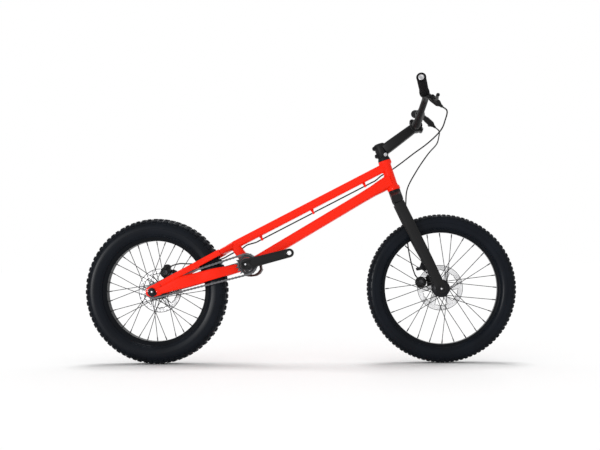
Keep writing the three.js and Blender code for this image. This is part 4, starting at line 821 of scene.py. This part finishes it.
def chain():
    """Waisted plates in pairs, wide and narrow in turn, with a roller and a pin at each end."""
    outline = [*arc(0, 0, PLATE_RADIUS, radians(50), radians(310), 10), (PITCH / 2, -WAIST),
               *arc(PITCH, 0, PLATE_RADIUS, radians(-130), radians(130), 10), (PITCH / 2, WAIST)]
    pin = join(rod(ROLLER, -1.85, 1.85, 16, 0.3), rod(PIN_RADIUS, -PIN_REACH, PIN_REACH, 12, 0.4))
    shapes = []
    for k in range(CHAIN_LINKS):
        a, b = pin_place(k), pin_place((k + 1) % CHAIN_LINKS)
        along = (b - a).normalized()
        basis = axes(along, Vector((0, 1, 0)), upward(along), a)
        low = OUTER_PLATE if k % 2 else INNER_PLATE
        plates = [flat(outline, s * low, s * (low + PLATE_THICK)) for s in (-1, 1)]
        shapes.append(transformed(join(*plates, pin), basis))
    stand_in("chain", "links", join(*shapes), chain_grey, "frame")


def sprocket(teeth, radius, first_gap, bore):
    """Toothed plate whose gaps seat the chain's rollers; first_gap is the angle of one gap."""
    outline = []
    for k in range(teeth):
        gap = first_gap - 2 * pi * k / teeth
        inward = gap + pi
        outline += arc(*polar(radius, gap), GAP_RADIUS, inward - GAP_HALF, inward + GAP_HALF, 6)
        outline += [polar(radius + 3.4, gap - pi / teeth + d / radius) for d in (0.75, -0.75)]
    return flat(outline, -1.3, 1.3, [circle(0, 0, bore, 40)])


def drive():
    first = LOWER - 2 * pi * (ceil(COG_START) - COG_START) / COG_TEETH
    cog = moved(sprocket(COG_TEETH, COG_RADIUS, first, 17.3), 0, -CHAIN_LINE, REAR_AXLE.z)
    stand_in("rear_cog", "teeth", cog, dark_steel, "rear_wheel", slot="chain_steel", bevel=0.25,
             smooth=30)
    at_bracket = (BRACKET.x, -CHAIN_LINE, BRACKET.z)
    ring = join(
        sprocket(RING_TEETH, RING_RADIUS, UPPER, 25.2),
        lathe([(25.2, -5), (29.2, -5), (30, -4.2), (30, 4.2), (29.2, 5), (25.2, 5)], 64))
    piece("freewheel_teeth", moved(ring, *at_bracket), dark_steel, "freewheel",
          ["freewheel_ring"], "chain_steel", 0.25, 30)
    core = [lathe([(15.6, -13), (22.4, -13), (23, -12.4), (23, -5.2), (24, -5), (24, 5),
                   (15.6, 5)], 64)]
    for x, z in circle(0, 0, 19.4, 8):
        core.append(moved(rod(1.6, -13.4, -12.8, 12), x, 0, z))
    stand_in("freewheel_core", "smooth", moved(join(*core), *at_bracket), dark_steel, "cranks",
             slot="chain_steel", smooth=30)


CRANK_TURN, CRANK_LENGTH = radians(13.5), 160
CRANK_IN, CRANK_LIP, CRANK_OUT = 62, 74, 75
BOSS_RADIUS, TIP_RADIUS, SPINDLE_HOLE, PEDAL_HOLE = 18, 15.5, 10.4, 7.15


def crank(side, flip, turn):
    """Arm with a shallow channel along its outer face, and a grey ring beside the boss that is a painted
    highlight of its edge.
    """
    holes = [circle(0, 0, SPINDLE_HOLE, 40), circle(CRANK_LENGTH, 0, PEDAL_HOLE, 32)]
    arm = flat(strap(0, 0, BOSS_RADIUS, CRANK_LENGTH, 0, TIP_RADIUS, 20), CRANK_IN, CRANK_LIP,
               holes)
    lip = flat(strap(0, 0, BOSS_RADIUS - 0.6, CRANK_LENGTH, 0, TIP_RADIUS - 0.6, 20),
               CRANK_LIP, CRANK_OUT, [strap(30, 0, 12.0, 134, 0, 9.4, 10), *holes])
    boss = lathe([(SPINDLE_HOLE, 39.8), (15, 39.8), (15, CRANK_IN), (SPINDLE_HOLE, CRANK_IN)], 48)
    thread = lathe([(PEDAL_HOLE, 61.6), (7.9, 61.6), (7.9, 75.2), (PEDAL_HOLE, 75.2)], 40)
    # A thin grey ring round the boss, away from the arm: a painted highlight of the boss's edge chamfer.
    edge = skin(turned([(17.0, 74.7), (17.35, 75.0), (17.65, 74.7), (17.3, 74.3)],
                       [radians(a) for a in range(62, 299, 4)]))
    basis = Matrix.Translation(BRACKET) @ Matrix.Rotation(-turn, 4, "Y")
    for tag, shape, material, hides in (
            ("arm", join(arm, lip, boss), satin_black, [f"crank_{side}"]),
            ("edge", edge, machined, []),
            ("thread", moved(thread, CRANK_LENGTH, 0, 0), steel, [])):
        piece(f"crank_{side}_{tag}", transformed(flip(shape), basis), material, "cranks", hides,
              "black_metal", 0.5, 32)


def spindle():
    shaft = rod(10, -72.5, 72.5, 48)
    cap = lathe([(3.5, 72.3), (10.2, 72.3), (10.2, 74.6), (9.6, 75), (7, 74.2), (3.5, 73.4)], 40)
    bolt = lathe([(0, 72.4), (3.4, 72.4), (3.4, 73.6), (2.8, 74.0), (1.6, 74.0), (1.3, 73.2),
                  (0, 73.2)], 36)
    cup = lathe([(10.6, 26.5), (17.2, 26.5), (17.2, 36.8), (20, 36.8), (20, 38.6), (19.2, 39.2),
                 (10.6, 39.2)], 56)
    piece("spindle_and_bolts", moved(join(shaft, bolt, mirrored(bolt)), *BRACKET), steel,
          "cranks", ["crank_spindle"], smooth=30)
    piece("spindle_caps", moved(join(cap, mirrored(cap)), *BRACKET), satin_black, "cranks",
          smooth=30)
    for side, flip in SIDES:
        stand_in(f"bb_bearing_{side}", "smooth", moved(flip(cup), *BRACKET), anodised, "frame",
                 slot="steel", smooth=30)


chain()
drive()
crank("right", mirrored, CRANK_TURN)
crank("left", unchanged, CRANK_TURN + pi)
spindle()


# Fork, stem and bar, in the steering's own frame: x ahead of the axis, z up it

def steered(name, shape, material, hides=(), body="steering", **options):
    piece(name, transformed(shape, STEERING), material, body, hides, **options)


LEG_Y, LEG_TOP, LEG_END_Y = 57.0, -49, 55.15
# Along the leg as a share, ahead of its line, width and depth
LEG = ((0, 0, 22, 39), (0.45, 0, 20, 40), (0.66, 1.7, 17, 36.5), (0.86, 1, 14, 35))
# Half of the crown: aside, up, depth and height
CROWN = ((68, -34.7, 33, 25), (64, -34, 38, 29), (57, -33.7, 39, 30), (46, -30.7, 39, 30),
         (23, -21.6, 41, 26.5), (0, -20.5, 41, 26))
CROWN_RACE = [(14, -21), (21, -21), (21, -1.2), (20.2, -0.4), (14, -0.4)]
STEERER = [(11, -30), (14.3, -30), (14.3, 167), (13.8, 167.6), (11, 167.6)]
FRONT_CALIPER = Vector((-13.2, 0, -338.7))
FORK_TAB = ((16, -22), (42, -30), (40, 26), (14, 22), (21, 8), (21, -8))


def fork():
    start, end = Vector((0, LEG_Y, LEG_TOP)), Vector((FORK_OFFSET, LEG_END_Y, -FORK_LENGTH))
    stations = [(start + (end - start) * share + Vector((ahead, 0, 0)), wide, long)
                for share, ahead, wide, long in LEG]
    leg = smooth_loft(stations + [(end + Vector((0, 0, 8)), 10.6, 34)], 30, 3, 36)
    eye = moved(rod(17, 50, 60.3, 48, 1.0), FORK_OFFSET, 0, -FORK_LENGTH)
    rows = [(-y, *row) for y, *row in CROWN[:-1]] + list(reversed(CROWN))
    arch = smooth_loft([(Vector((0, y, z)), wide, high) for y, z, wide, high in rows], 60, 3.6,
                       36, (1, 0, 0))
    steered("fork_crown_smooth", join(arch, upright(lathe(CROWN_RACE, 48))), fork_black,
            ["fork_crown"], smooth=40)
    steered("steerer", upright(lathe(STEERER, 48)), steel, smooth=30)
    steered("fork_leg_right_smooth", mirrored(join(leg, eye)), fork_black, ["fork_leg_right"],
            smooth=40)
    tab = flat(round_corners(around(FRONT_CALIPER, FORK_TAB), 3, 4), 49.5, 56.3)
    steered("fork_leg_left_smooth", join(leg, eye, tab), fork_black, ["fork_leg_left"], smooth=40)


BAR_CENTRE, FACE_LEAN = Vector((144.3, 0, 189.9)), radians(30.6)
AT_BAR = Matrix.Translation(BAR_CENTRE) @ Matrix.Rotation(-FACE_LEAN, 4, "Y")
CLAMP_LOW, CLAMP_TOP, COLLAR_OUT, COLLAR_IN = 124, 170, 20.5, 14.4
FACE_RADIUS, EAR_OUT, EAR_RADIUS, BAR_HOLE, SPLIT, FACE_HALF = 21.5, 22.0, 7.0, 15.95, 0.5, 26
STEM_FOOT = Vector((0, 0, 142.5))
STEM = ((0.09, 40, 38), (0.3, 44, 38), (0.7, 45, 35), (0.93, 46, 33))   # along, wide, high
PINCH_HEIGHTS, PINCH_BACK = (133.2, 161.7), -21
TOP_CAP = [(0, 165.5), (11, 165.5), (11, 170.3), (17, 170.3), (17.5, 170.8), (17.4, 171.4),
           (15.6, 172.9), (0, 173)]
COVER = [(14.9, 109.3), (21.4, 109.3), (22, 110), (22, 113), (18.4, 123.4), (17.6, 123.7),
         (14.9, 123.7)]


def clamp_half(side):
    """One half of the bar clamp, split beside the bar; side is 1 in front and -1 behind."""
    meet = acos((FACE_RADIUS ** 2 + EAR_OUT ** 2 - EAR_RADIUS ** 2) / (2 * FACE_RADIUS * EAR_OUT))
    tip = atan2(FACE_RADIUS * cos(meet) - EAR_OUT, FACE_RADIUS * sin(meet))
    upper = arc(0, EAR_OUT, EAR_RADIUS, pi / 2, tip, 9)
    belly = arc(0, 0, FACE_RADIUS, pi / 2 - meet, meet - pi / 2, 25)[1:-1]
    lower = [(x, -z) for x, z in reversed(upper)]
    hollow = arc(0, 0, BAR_HOLE, -pi / 2, pi / 2, 29)
    outline = [(side * max(x, SPLIT), z) for x, z in upper + belly + lower + hollow]
    return transformed(flat(outline, -FACE_HALF, FACE_HALF), AT_BAR)


def stem():
    slit_out, slit_in = pi - asin(1 / COLLAR_OUT), pi - asin(1 / COLLAR_IN)
    collar = (arc(0, 0, COLLAR_OUT, -slit_out, slit_out, 59)
              + arc(0, 0, COLLAR_IN, slit_in, -slit_in, 59))
    clamp = upright(flat(collar, CLAMP_LOW, CLAMP_TOP))
    body = smooth_loft([(STEM_FOOT.lerp(BAR_CENTRE, share), wide, high)
                        for share, wide, high in STEM], 24, 5, 44)
    lugs, pinch_bolts = [], []
    for z in PINCH_HEIGHTS:
        lug = flat(strap(-10, z, 6.9, PINCH_BACK, z, 6.5), 1, 13)
        lugs += [lug, mirrored(lug)]
        pinch_bolts += [moved(screw(3.9, 2.0, side * 12.6, side * 15.6), PINCH_BACK, 0, z)
                        for side in (-1, 1)]
    side_bolt = join(rod(6.8, -20.2, -12, 32, 1.2), rod(3.2, -21.2, -20, 6, 0.4))
    steered("stem_side_bolt", moved(side_bolt, 10, 0, 128), plug_grey, smooth=30)
    steered("stem_pinch_bolts", join(*pinch_bolts), anodised, slot="steel", smooth=30)
    steered("stem_smooth", join(clamp, body, clamp_half(-1), *lugs), satin_black, ["stem"],
            bevel=0.8, smooth=40)
    steered("stem_faceplate_smooth", clamp_half(1), satin_black, ["stem_faceplate"], bevel=1.0,
            smooth=40)
    steered("top_cap_smooth", upright(lathe(TOP_CAP, 48)), satin_black, ["top_cap"], smooth=30)
    steered("headset_cover_smooth", upright(lathe(COVER, 56)), satin_black, ["headset_cover"],
            smooth=30)
    head = transformed(rod(3.9, 0, 3.4, 24), Matrix.Rotation(-pi / 2, 4, "Z"))
    bolts = [transformed(moved(head, 6.8, y, z), AT_BAR) for z in (-23.4, 23.4) for y in (-17, 17)]
    bolts.append(upright(screw(4.6, 2.4, 172.6, 174.4)))
    steered("stem_bolts", join(*bolts), steel, smooth=30)


BAR_END, BEND = BAR_CENTRE + Vector((37.8, 365, 95.1)), BAR_CENTRE + Vector((48.4, 165, 58.3))
GRIP_LINE = (BAR_END - BEND).normalized()
CLAMP_RADIUS, BAR_RADIUS = 15.9, 11.1
GRIP_LENGTH, GRIP_BORE = 128, 11.2
# From the bar's end, and radius
GRIP = ((GRIP_LENGTH, 15.0), (127, 15.8), (123, 15.8), (121, 14.9), (117, 14.7), (90, 15.2),
        (50, 15.3), (12, 15.0), (6, 15.6), (1.5, 15.9), (0, 15.2))
PLUG = ((0.5, 0.01), (0.5, 8.8), (0.0, 9.2), (-0.4, 8.4), (-0.4, 6.2), (-0.15, 5.6),
        (-0.15, 2.4), (-0.4, 2.2), (-0.4, 0.01))


def on_grip_line(from_end):
    return BAR_END - GRIP_LINE * from_end


def grip_rings(profile):
    across = GRIP_LINE.orthogonal().normalized()
    up = GRIP_LINE.cross(across)
    return [[on_grip_line(s) + (across * x + up * z) * r for x, z in circle(0, 0, 1, 32)]
            for s, r in profile]


def bars():
    edge = Vector((BAR_CENTRE.x, 34, BAR_CENTRE.z))
    kink = Vector((BAR_CENTRE.x, 46, BAR_CENTRE.z))
    rise = (BEND - kink).normalized()
    half = [(edge, CLAMP_RADIUS), (kink - Vector((0, 3, 0)), 15.7), (kink + rise * 14, 13.7),
            (kink + rise * 40, 11.8)]
    half += [(place, BAR_RADIUS) for place in (
        BEND - rise * 22, BEND - rise * 6 + GRIP_LINE * 4, BEND + GRIP_LINE * 20,
        BEND + GRIP_LINE * 60, BAR_END)]
    rows = [(Vector((p.x, -p.y, p.z)), 2 * r, 2 * r) for p, r in reversed(half)]
    rows += [(p, 2 * r, 2 * r) for p, r in half]
    steered("handlebar_smooth", smooth_loft(rows, 120, 2, 28, (0, 0, 1)), satin_black,
            ["handlebar"], smooth=50)
    inner = grip_rings([(0, GRIP_BORE), (GRIP_LENGTH, GRIP_BORE)])
    grip, plug = skin(grip_rings(GRIP) + inner, loop=True), skin(grip_rings(PLUG))
    for side, flip in SIDES:
        steered(f"grip_{side}_foam", flip(grip), foam, [f"grip_{side}"], smooth=40)
        steered(f"bar_plug_{side}", flip(plug), plug_grey, smooth=30)


# Levers, in their own frame: x away from the bar, y out along it

LEVER_ORIGIN = on_grip_line(146)
AIM = Vector((0.5, 0, -0.866))
LEVER_OUT = (AIM - GRIP_LINE * AIM.dot(GRIP_LINE)).normalized()
LEVER_SQUARE = LEVER_OUT.cross(GRIP_LINE)
LEVER = axes(LEVER_OUT, GRIP_LINE, LEVER_SQUARE, LEVER_ORIGIN)
BARREL = [(0, 13), (9, 13), (9, 24), (9.4, 26), (11, 32), (11, 58.5), (10.4, 60.4), (5.9, 68.6),
          (5, 70.4), (5, 75.4), (4.4, 76), (0, 76)]
BAR_RING = [(11.2, -7), (16.3, -7), (17, -6.3), (17, 6.3), (16.3, 7), (11.2, 7)]
BLADE = ((39.2, 20, 8), (49, 27.5, 7.6), (56.5, 38, 7.8), (60.2, 62, 8.2), (61.4, 84, 7.8),
         (64, 93, 7.2), (67, 98, 7))        # x, y and thickness
BLADE_WIDE, BLADE_TIP, PIVOT = 9.6, (66, 98, 0), (36, 17, 0)
TIP_BALL = [(0, -6), (2.6, -5.4), (4.6, -3.8), (5.8, -1.5), (5.8, 1.5), (4.6, 3.8), (2.6, 5.4),
            (0, 6)]


def cheek(z0, z1):
    """Plate beside the blade, with its outline in x and y."""
    return upright(flat([(x, -y) for x, y in strap(30, 0, 8, 36, 17, 6.5, 14)], z0, z1))


def levers():
    """Body, hooked blade and small screws of both levers."""
    along_x = Matrix.Rotation(-pi / 2, 4, "Z")
    barrel, ring = transformed(lathe(BARREL, 44), along_x), lathe(BAR_RING, 44)
    hinge_pin = moved(upright(rod(2.2, -8.6, 8.6, 24)), *PIVOT)
    body = join(barrel, ring, cheek(5.1, 8.5), cheek(-8.5, -5.1), hinge_pin)
    blade = smooth_loft([(Vector((x, y, 0)), BLADE_WIDE, high) for x, y, high in BLADE], 44, 2.8,
                        24, (0, 0, 1))
    blade = join(blade, moved(lathe(TIP_BALL, 28), *BLADE_TIP),
                 moved(upright(rod(6, -4.8, 4.8, 32)), *PIVOT))
    clamp = moved(upright(rod(2.6, 8, 11, 20)), -15.5, 0, 0)
    pivot = [moved(upright(rod(3.0, s * 8.2, s * 9.4, 20)), *PIVOT) for s in (-1, 1)]
    nut = transformed(rod(3.9, 72, 79, 6, 0.3), along_x)
    for side, flip in SIDES:
        for tag, shape, material, hides, rider in (
                ("body", body, satin_black, [f"lever_body_{side}"], "steering"),
                ("blade", blade, satin_black, [f"lever_blade_{side}"], f"brake_lever_{side}"),
                ("screws", join(clamp, *pivot, nut), dark_steel, [], "steering")):
            steered(f"lever_{tag}_{side}_smooth", flip(transformed(shape, LEVER)), material,
                    hides, rider, smooth=36)


fork()
stem()
bars()
levers()
for bearing in ("headset_bearing_lower", "headset_bearing_upper"):
    softened(bearing, steel, 0.4)


# Brakes and axles

CALIPER_REACH, CALIPER_RADIUS, DISC_ROOM, DISC_SLOT = 70.0, 20.0, 83.0, 2.5
PAD_RADIUS, PAD_THICK, PAD_IN = 11, 4, -3.0
BRACKET_IN, BRACKET_OUT = 49.8, 54.2
# The angle about the axle, brackets as outlines about the caliper's centre, and studs
REAR_BRAKE = Sizes(wheel=REAR, body="frame", angle=radians(70.5), studs=((24, 4), (38, 0)),
                   brackets=(((15, 8), (25, 11), (38, 6), (46, -6), (34, -14), (17, -12)),))
FRONT_BRAKE = Sizes(
    wheel=FRONT, body="steering", angle=radians(163), studs=((-11.6, 46.5), (9, -27.5), (27, 4)),
    brackets=(((-17, 50), (-12, 53), (-3, 54), (5, 77), (14, 62), (30, 28), (25, 20), (14, 36),
               (8, 45), (-4, 42), (-14, 41)),
              ((24, 14), (22, -14), (16, -22), (3, -24), (3, -31), (24, -32), (36, -24),
               (34, 14))))


def caliper_place(brake):
    x, z = polar(CALIPER_REACH, brake.angle)
    return brake.wheel.axle + Vector((x, 0, z))


def caliper_shape(angle, line, pad):
    """Two halves, the bridge over the rotor's rim and a pocket for the pads."""
    def puck(rows):
        return lathe([(r, line + y) for r, y in rows], 64)

    radius, reach, disc = CALIPER_RADIUS, CALIPER_REACH, DISC_ROOM
    pocket, rim_line = circle(*pad, 11.3, 40), circle(0, 0, radius, 64)
    out = (disc ** 2 + reach ** 2 - radius ** 2) / (2 * reach)
    aside = sqrt(disc ** 2 - out ** 2)
    outer, inner = atan2(aside, out - reach), atan2(aside, out)
    cx, cz = polar(reach, angle)
    bridge = (arc(0, 0, radius, angle - outer, angle + outer, 19)
              + arc(-cx, -cz, disc, angle + inner, angle - inner, 13))
    return join(
        flat(rim_line, line + DISC_SLOT, line + 5.6, [pocket]),
        flat(rim_line, line - 5.6, line - DISC_SLOT, [pocket]),
        puck([(0, 5.5), (20, 5.5), (20, 15), (18, 17), (0, 17)]),
        puck([(0, -5.5), (20, -5.5), (20, -9.6), (18.6, -11), (0, -11)]),
        flat(bridge, line - DISC_SLOT - 0.1, line + DISC_SLOT + 0.1))


def caliper(brake):
    """Caliper with its cap and screws, the bracket that carries it, and two pads."""
    name, body, line = brake.wheel.name, brake.body, brake.wheel.rotor
    spot, pad = caliper_place(brake), polar(PAD_IN, brake.angle)
    stand_in(f"{name}_caliper", "smooth",
             moved(caliper_shape(brake.angle, line, pad), spot.x, 0, spot.z), satin_black, body,
             bevel=0.4, smooth=36)
    head = join(rod(3.2, line - 13.2, line - 10.6, 20), rod(1.6, line - 13.3, line - 13.1, 6))
    screws = [moved(head, spot.x + x, 0, spot.z + z) for x, z in (
        polar(14.5, radians(a) + brake.angle) for a in (20, 140, 260))]
    cap = lathe([(r, line + y) for r, y in (
        (0, -12.6), (8.6, -12.6), (9.4, -11.8), (9.4, -10), (0, -10))], 36)
    piece(f"{name}_caliper_screws", join(*screws, moved(cap, spot.x, 0, spot.z)), dark_steel,
          body, smooth=30)
    plate = [flat(round_corners(around(spot, outline), 2.5, 3), BRACKET_IN, BRACKET_OUT)
             for outline in brake.brackets]
    plate += [moved(rod(3.6, 46.5, 57, 20), spot.x + x, 0, spot.z + z) for x, z in brake.studs]
    if brake is REAR_BRAKE:
        plate.append(moved(rod(12, 36, 56, 40, 1.5), spot.x + 5.5, 0, spot.z + 18))
    piece(f"{name}_caliper_bracket", join(*plate), anodised, body, bevel=0.4)
    for side, low in (("outer", line + 1.2), ("inner", line - 5.2)):
        puck = moved(rod(PAD_RADIUS, low, low + PAD_THICK, 36, 0.4), spot.x + pad[0], 0,
                     spot.z + pad[1])
        node = f"{name}_pad_{side}"
        stand_in(node, "smooth", puck, sintered, node, smooth=30)


CAM_IN, CAM_OUT, CAM_START, CAM_GROWTH, CAM_TURN = 66.3, 69.3, 12, 7, 0.94


def axles():
    """Through axles with a socket head on the right and a nut on the left, and the cams."""
    for wheel, body, inner, face in (
            (FRONT, "steering", 50, 60.6), (REAR, "frame", DROPOUT_IN, 69.6)):
        end = face + 5.5
        bolt = join(
            rod(7.5, -inner + 0.3, inner - 0.3, 40), rod(5, -face - 0.2, end),
            lathe([(3.4, -face), (3.4, -end + 0.3), (4, -end), (8.6, -end), (9.4, -end + 0.9),
                   (9.5, -face)], 40))
        # The hexagonal socket is steel coloured inside the black bolt head: a painted highlight in the
        # socket.
        socket = lathe([(0, -end + 1.4), (3.4, -end + 1.4), (3.4, -face - 0.2),
                        (0, -face - 0.2)], 6)
        nut = lathe([(5, face), (9.5, face), (9.5, end - 0.6), (8.8, end), (5, end)], 6)
        for tag, shape, material, hides in (("axle_bolt", bolt, anodised, ["axle"]),
                                            ("axle_socket_highlight", socket, steel, []),
                                            ("axle_nut_smooth", nut, steel, ["axle_nut"])):
            piece(f"{wheel.name}_{tag}", moved(shape, *wheel.axle), material, body,
                  [f"{wheel.name}_{node}" for node in hides], "steel", smooth=30)
    spiral = [polar(CAM_START + CAM_GROWTH * share, 2 * pi * CAM_TURN * share)
              for share in np.linspace(0, 1, 48)]
    cam = moved(flat(spiral, CAM_IN, CAM_OUT, [circle(0, 0, AXLE_HOLE, 30)]), 0, 0, REAR_AXLE.z)
    for side, flip in SIDES:
        stand_in(f"snail_cam_{side}", "smooth", flip(cam), anodised, "frame", bevel=0.5)


caliper(REAR_BRAKE)
caliper(FRONT_BRAKE)
axles()


# Brake hoses, along the same routes as in the part

FRONT_ROUTE = ((226, 205, 150), (205, 150, 122), (160, 90, 92), (100, 66, 45), (48, 66, -6),
               (28, 72, -50), (10, 75, -110), (-12, 74, -190), (-22, 70, -255), (-24, 58, -300))
LEAD_ROUTE = ((226, -200, 152), (208, -150, 132), (160, -85, 112), (100, -28, 97), (50, 14, 83),
              (12, 30, 73), (-25, 29, 66))
REAR_ROUTE = ((-6.8, 14, 68.7), (-24.8, 23, 57.7), (-68.8, 26, 36.7), (-96.8, 33, 22.7),
              (-131.8, 38.5, 14.7), (-171.8, 40, 8.7), (-206.8, 40.5, 4.7), (-236.8, 44, 4.7),
              (-261.8, 48, 5.7))
PORT_REACHES, PORT_Y = (30, 20.3), 49       # of the hose's last points from the caliper's centre
BEND_POINT = 3                              # of the lead's route, where it begins to bend


def to_port(centre, angle):
    """The hose's last two points, along the caliper's port."""
    return [Vector((centre.x + x, PORT_Y, centre.z + z))
            for x, z in (polar(reach, angle) for reach in PORT_REACHES)]


def hose(points, count):
    return tube(points, HOSE_RADIUS, 12, count)


def hoses():
    nose = LEVER_ORIGIN + LEVER_OUT * 76.3
    start = [nose, nose + LEVER_OUT * 20]
    front = start + [Vector(p) for p in FRONT_ROUTE]
    front += to_port(TO_STEERING @ caliper_place(FRONT_BRAKE), radians(110))
    steered("front_hose_smooth", hose(front, 160), hose_black, ["front_hose"], smooth=60)
    clip = under_top_tube(0.88)
    lead = [Vector((p.x, -p.y, p.z)) for p in start] + [Vector(p) for p in LEAD_ROUTE]
    lead += [TO_STEERING @ (clip + TOP_LINE * ahead) for ahead in (15, 0)]
    lead_piece = stand_in("rear_hose_lead", "smooth", transformed(hose(lead, 120), STEERING),
                          hose_black, None, smooth=60)
    bend = STEERING @ Vector(LEAD_ROUTE[BEND_POINT])
    in_frame = [(place + Vector((SHIFT, 0, 0))) * MM for place in (clip, bend)]
    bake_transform(lead_piece, "frame", "steering", *in_frame)
    rear = [clip] + [under_top_tube(share) for share in (0.8, 0.14, 0.12)]
    rear += [BRACKET + Vector(p) for p in REAR_ROUTE]
    rear += to_port(caliper_place(REAR_BRAKE), radians(50))
    stand_in("rear_hose", "smooth", hose(rear, 200), hose_black, "frame", smooth=60)


hoses()


# Floor, light and camera

FLOOR_HALF, FLOOR_Z = 30.0, -0.0005         # metres
AMBIENT = 0.62          # light of the surroundings on matt surfaces; seen directly they are 1


def stage():
    corners = [(x * FLOOR_HALF, y * FLOOR_HALF, FLOOR_Z)
               for x, y in ((-1, -1), (1, -1), (1, 1), (-1, 1))]
    mesh = bpy.data.meshes.new("floor")
    mesh.from_pydata(corners, [], [(0, 1, 2, 3)])
    floor = add_object("floor", mesh)
    material = bpy.data.materials.new("floor_white")
    material.use_nodes = True
    set_inputs(material.node_tree.nodes["Principled BSDF"], Base_Color=(1, 1, 1, 1),
               Roughness=1.0, Specular_IOR_Level=0.0)
    mesh.materials.append(material)

    world = bpy.data.worlds.new("studio")
    bpy.context.scene.world = world
    world.use_nodes = True
    nodes, links = world.node_tree.nodes, world.node_tree.links
    background = set_inputs(nodes["Background"], Color=(1, 1, 1, 1))
    path = nodes.new("ShaderNodeLightPath")
    seen = path.outputs["Is Camera Ray"]
    for kind in ("Is Glossy Ray", "Is Transmission Ray"):
        either = nodes.new("ShaderNodeMath")
        either.operation = "MAXIMUM"
        links.new(seen, either.inputs[0])
        links.new(path.outputs[kind], either.inputs[1])
        seen = either.outputs[0]
    level = set_inputs(nodes.new("ShaderNodeMapRange"), To_Min=AMBIENT, To_Max=1.0)
    links.new(seen, level.inputs["Value"])
    links.new(level.outputs["Result"], background.inputs["Strength"])


def sun(name, strength, spread, direction):
    light = bpy.data.lights.new(name, "SUN")
    light.energy, light.angle = strength, radians(spread)
    lamp = add_object(name, light)
    lamp.rotation_mode = "QUATERNION"
    lamp.rotation_quaternion = Vector(direction).to_track_quat("-Z", "Y")


def camera():
    """Stands where the photograph was taken, as fitted to both wheels."""
    place = Vector(((844.64 + SHIFT) * MM, -3170.2 * MM, 370.9 * MM))
    yaw, pitch, roll = radians(5.767), radians(2.143), radians(-0.949)
    ahead = Vector((-sin(yaw) * cos(pitch), cos(yaw) * cos(pitch), sin(pitch)))
    right = ahead.cross(Vector((0, 0, 1))).normalized()
    up = right.cross(ahead)
    data = bpy.data.cameras.new("camera")
    data.sensor_width, data.lens, data.clip_end = 36.0, 53.57, 100.0
    obj = add_object("camera", data)
    obj.matrix_world = axes(right * cos(roll) + up * sin(roll), up * cos(roll) - right * sin(roll),
                            -ahead, place)
    bpy.context.scene.camera = obj
    bpy.context.scene.view_settings.view_transform = "Standard"


stage()
sun("key", 1.25, 26, (0.0, -0.2, -1.0))
sun("side", 1.3, 9, (0.6, 1.0, -0.02))
camera()
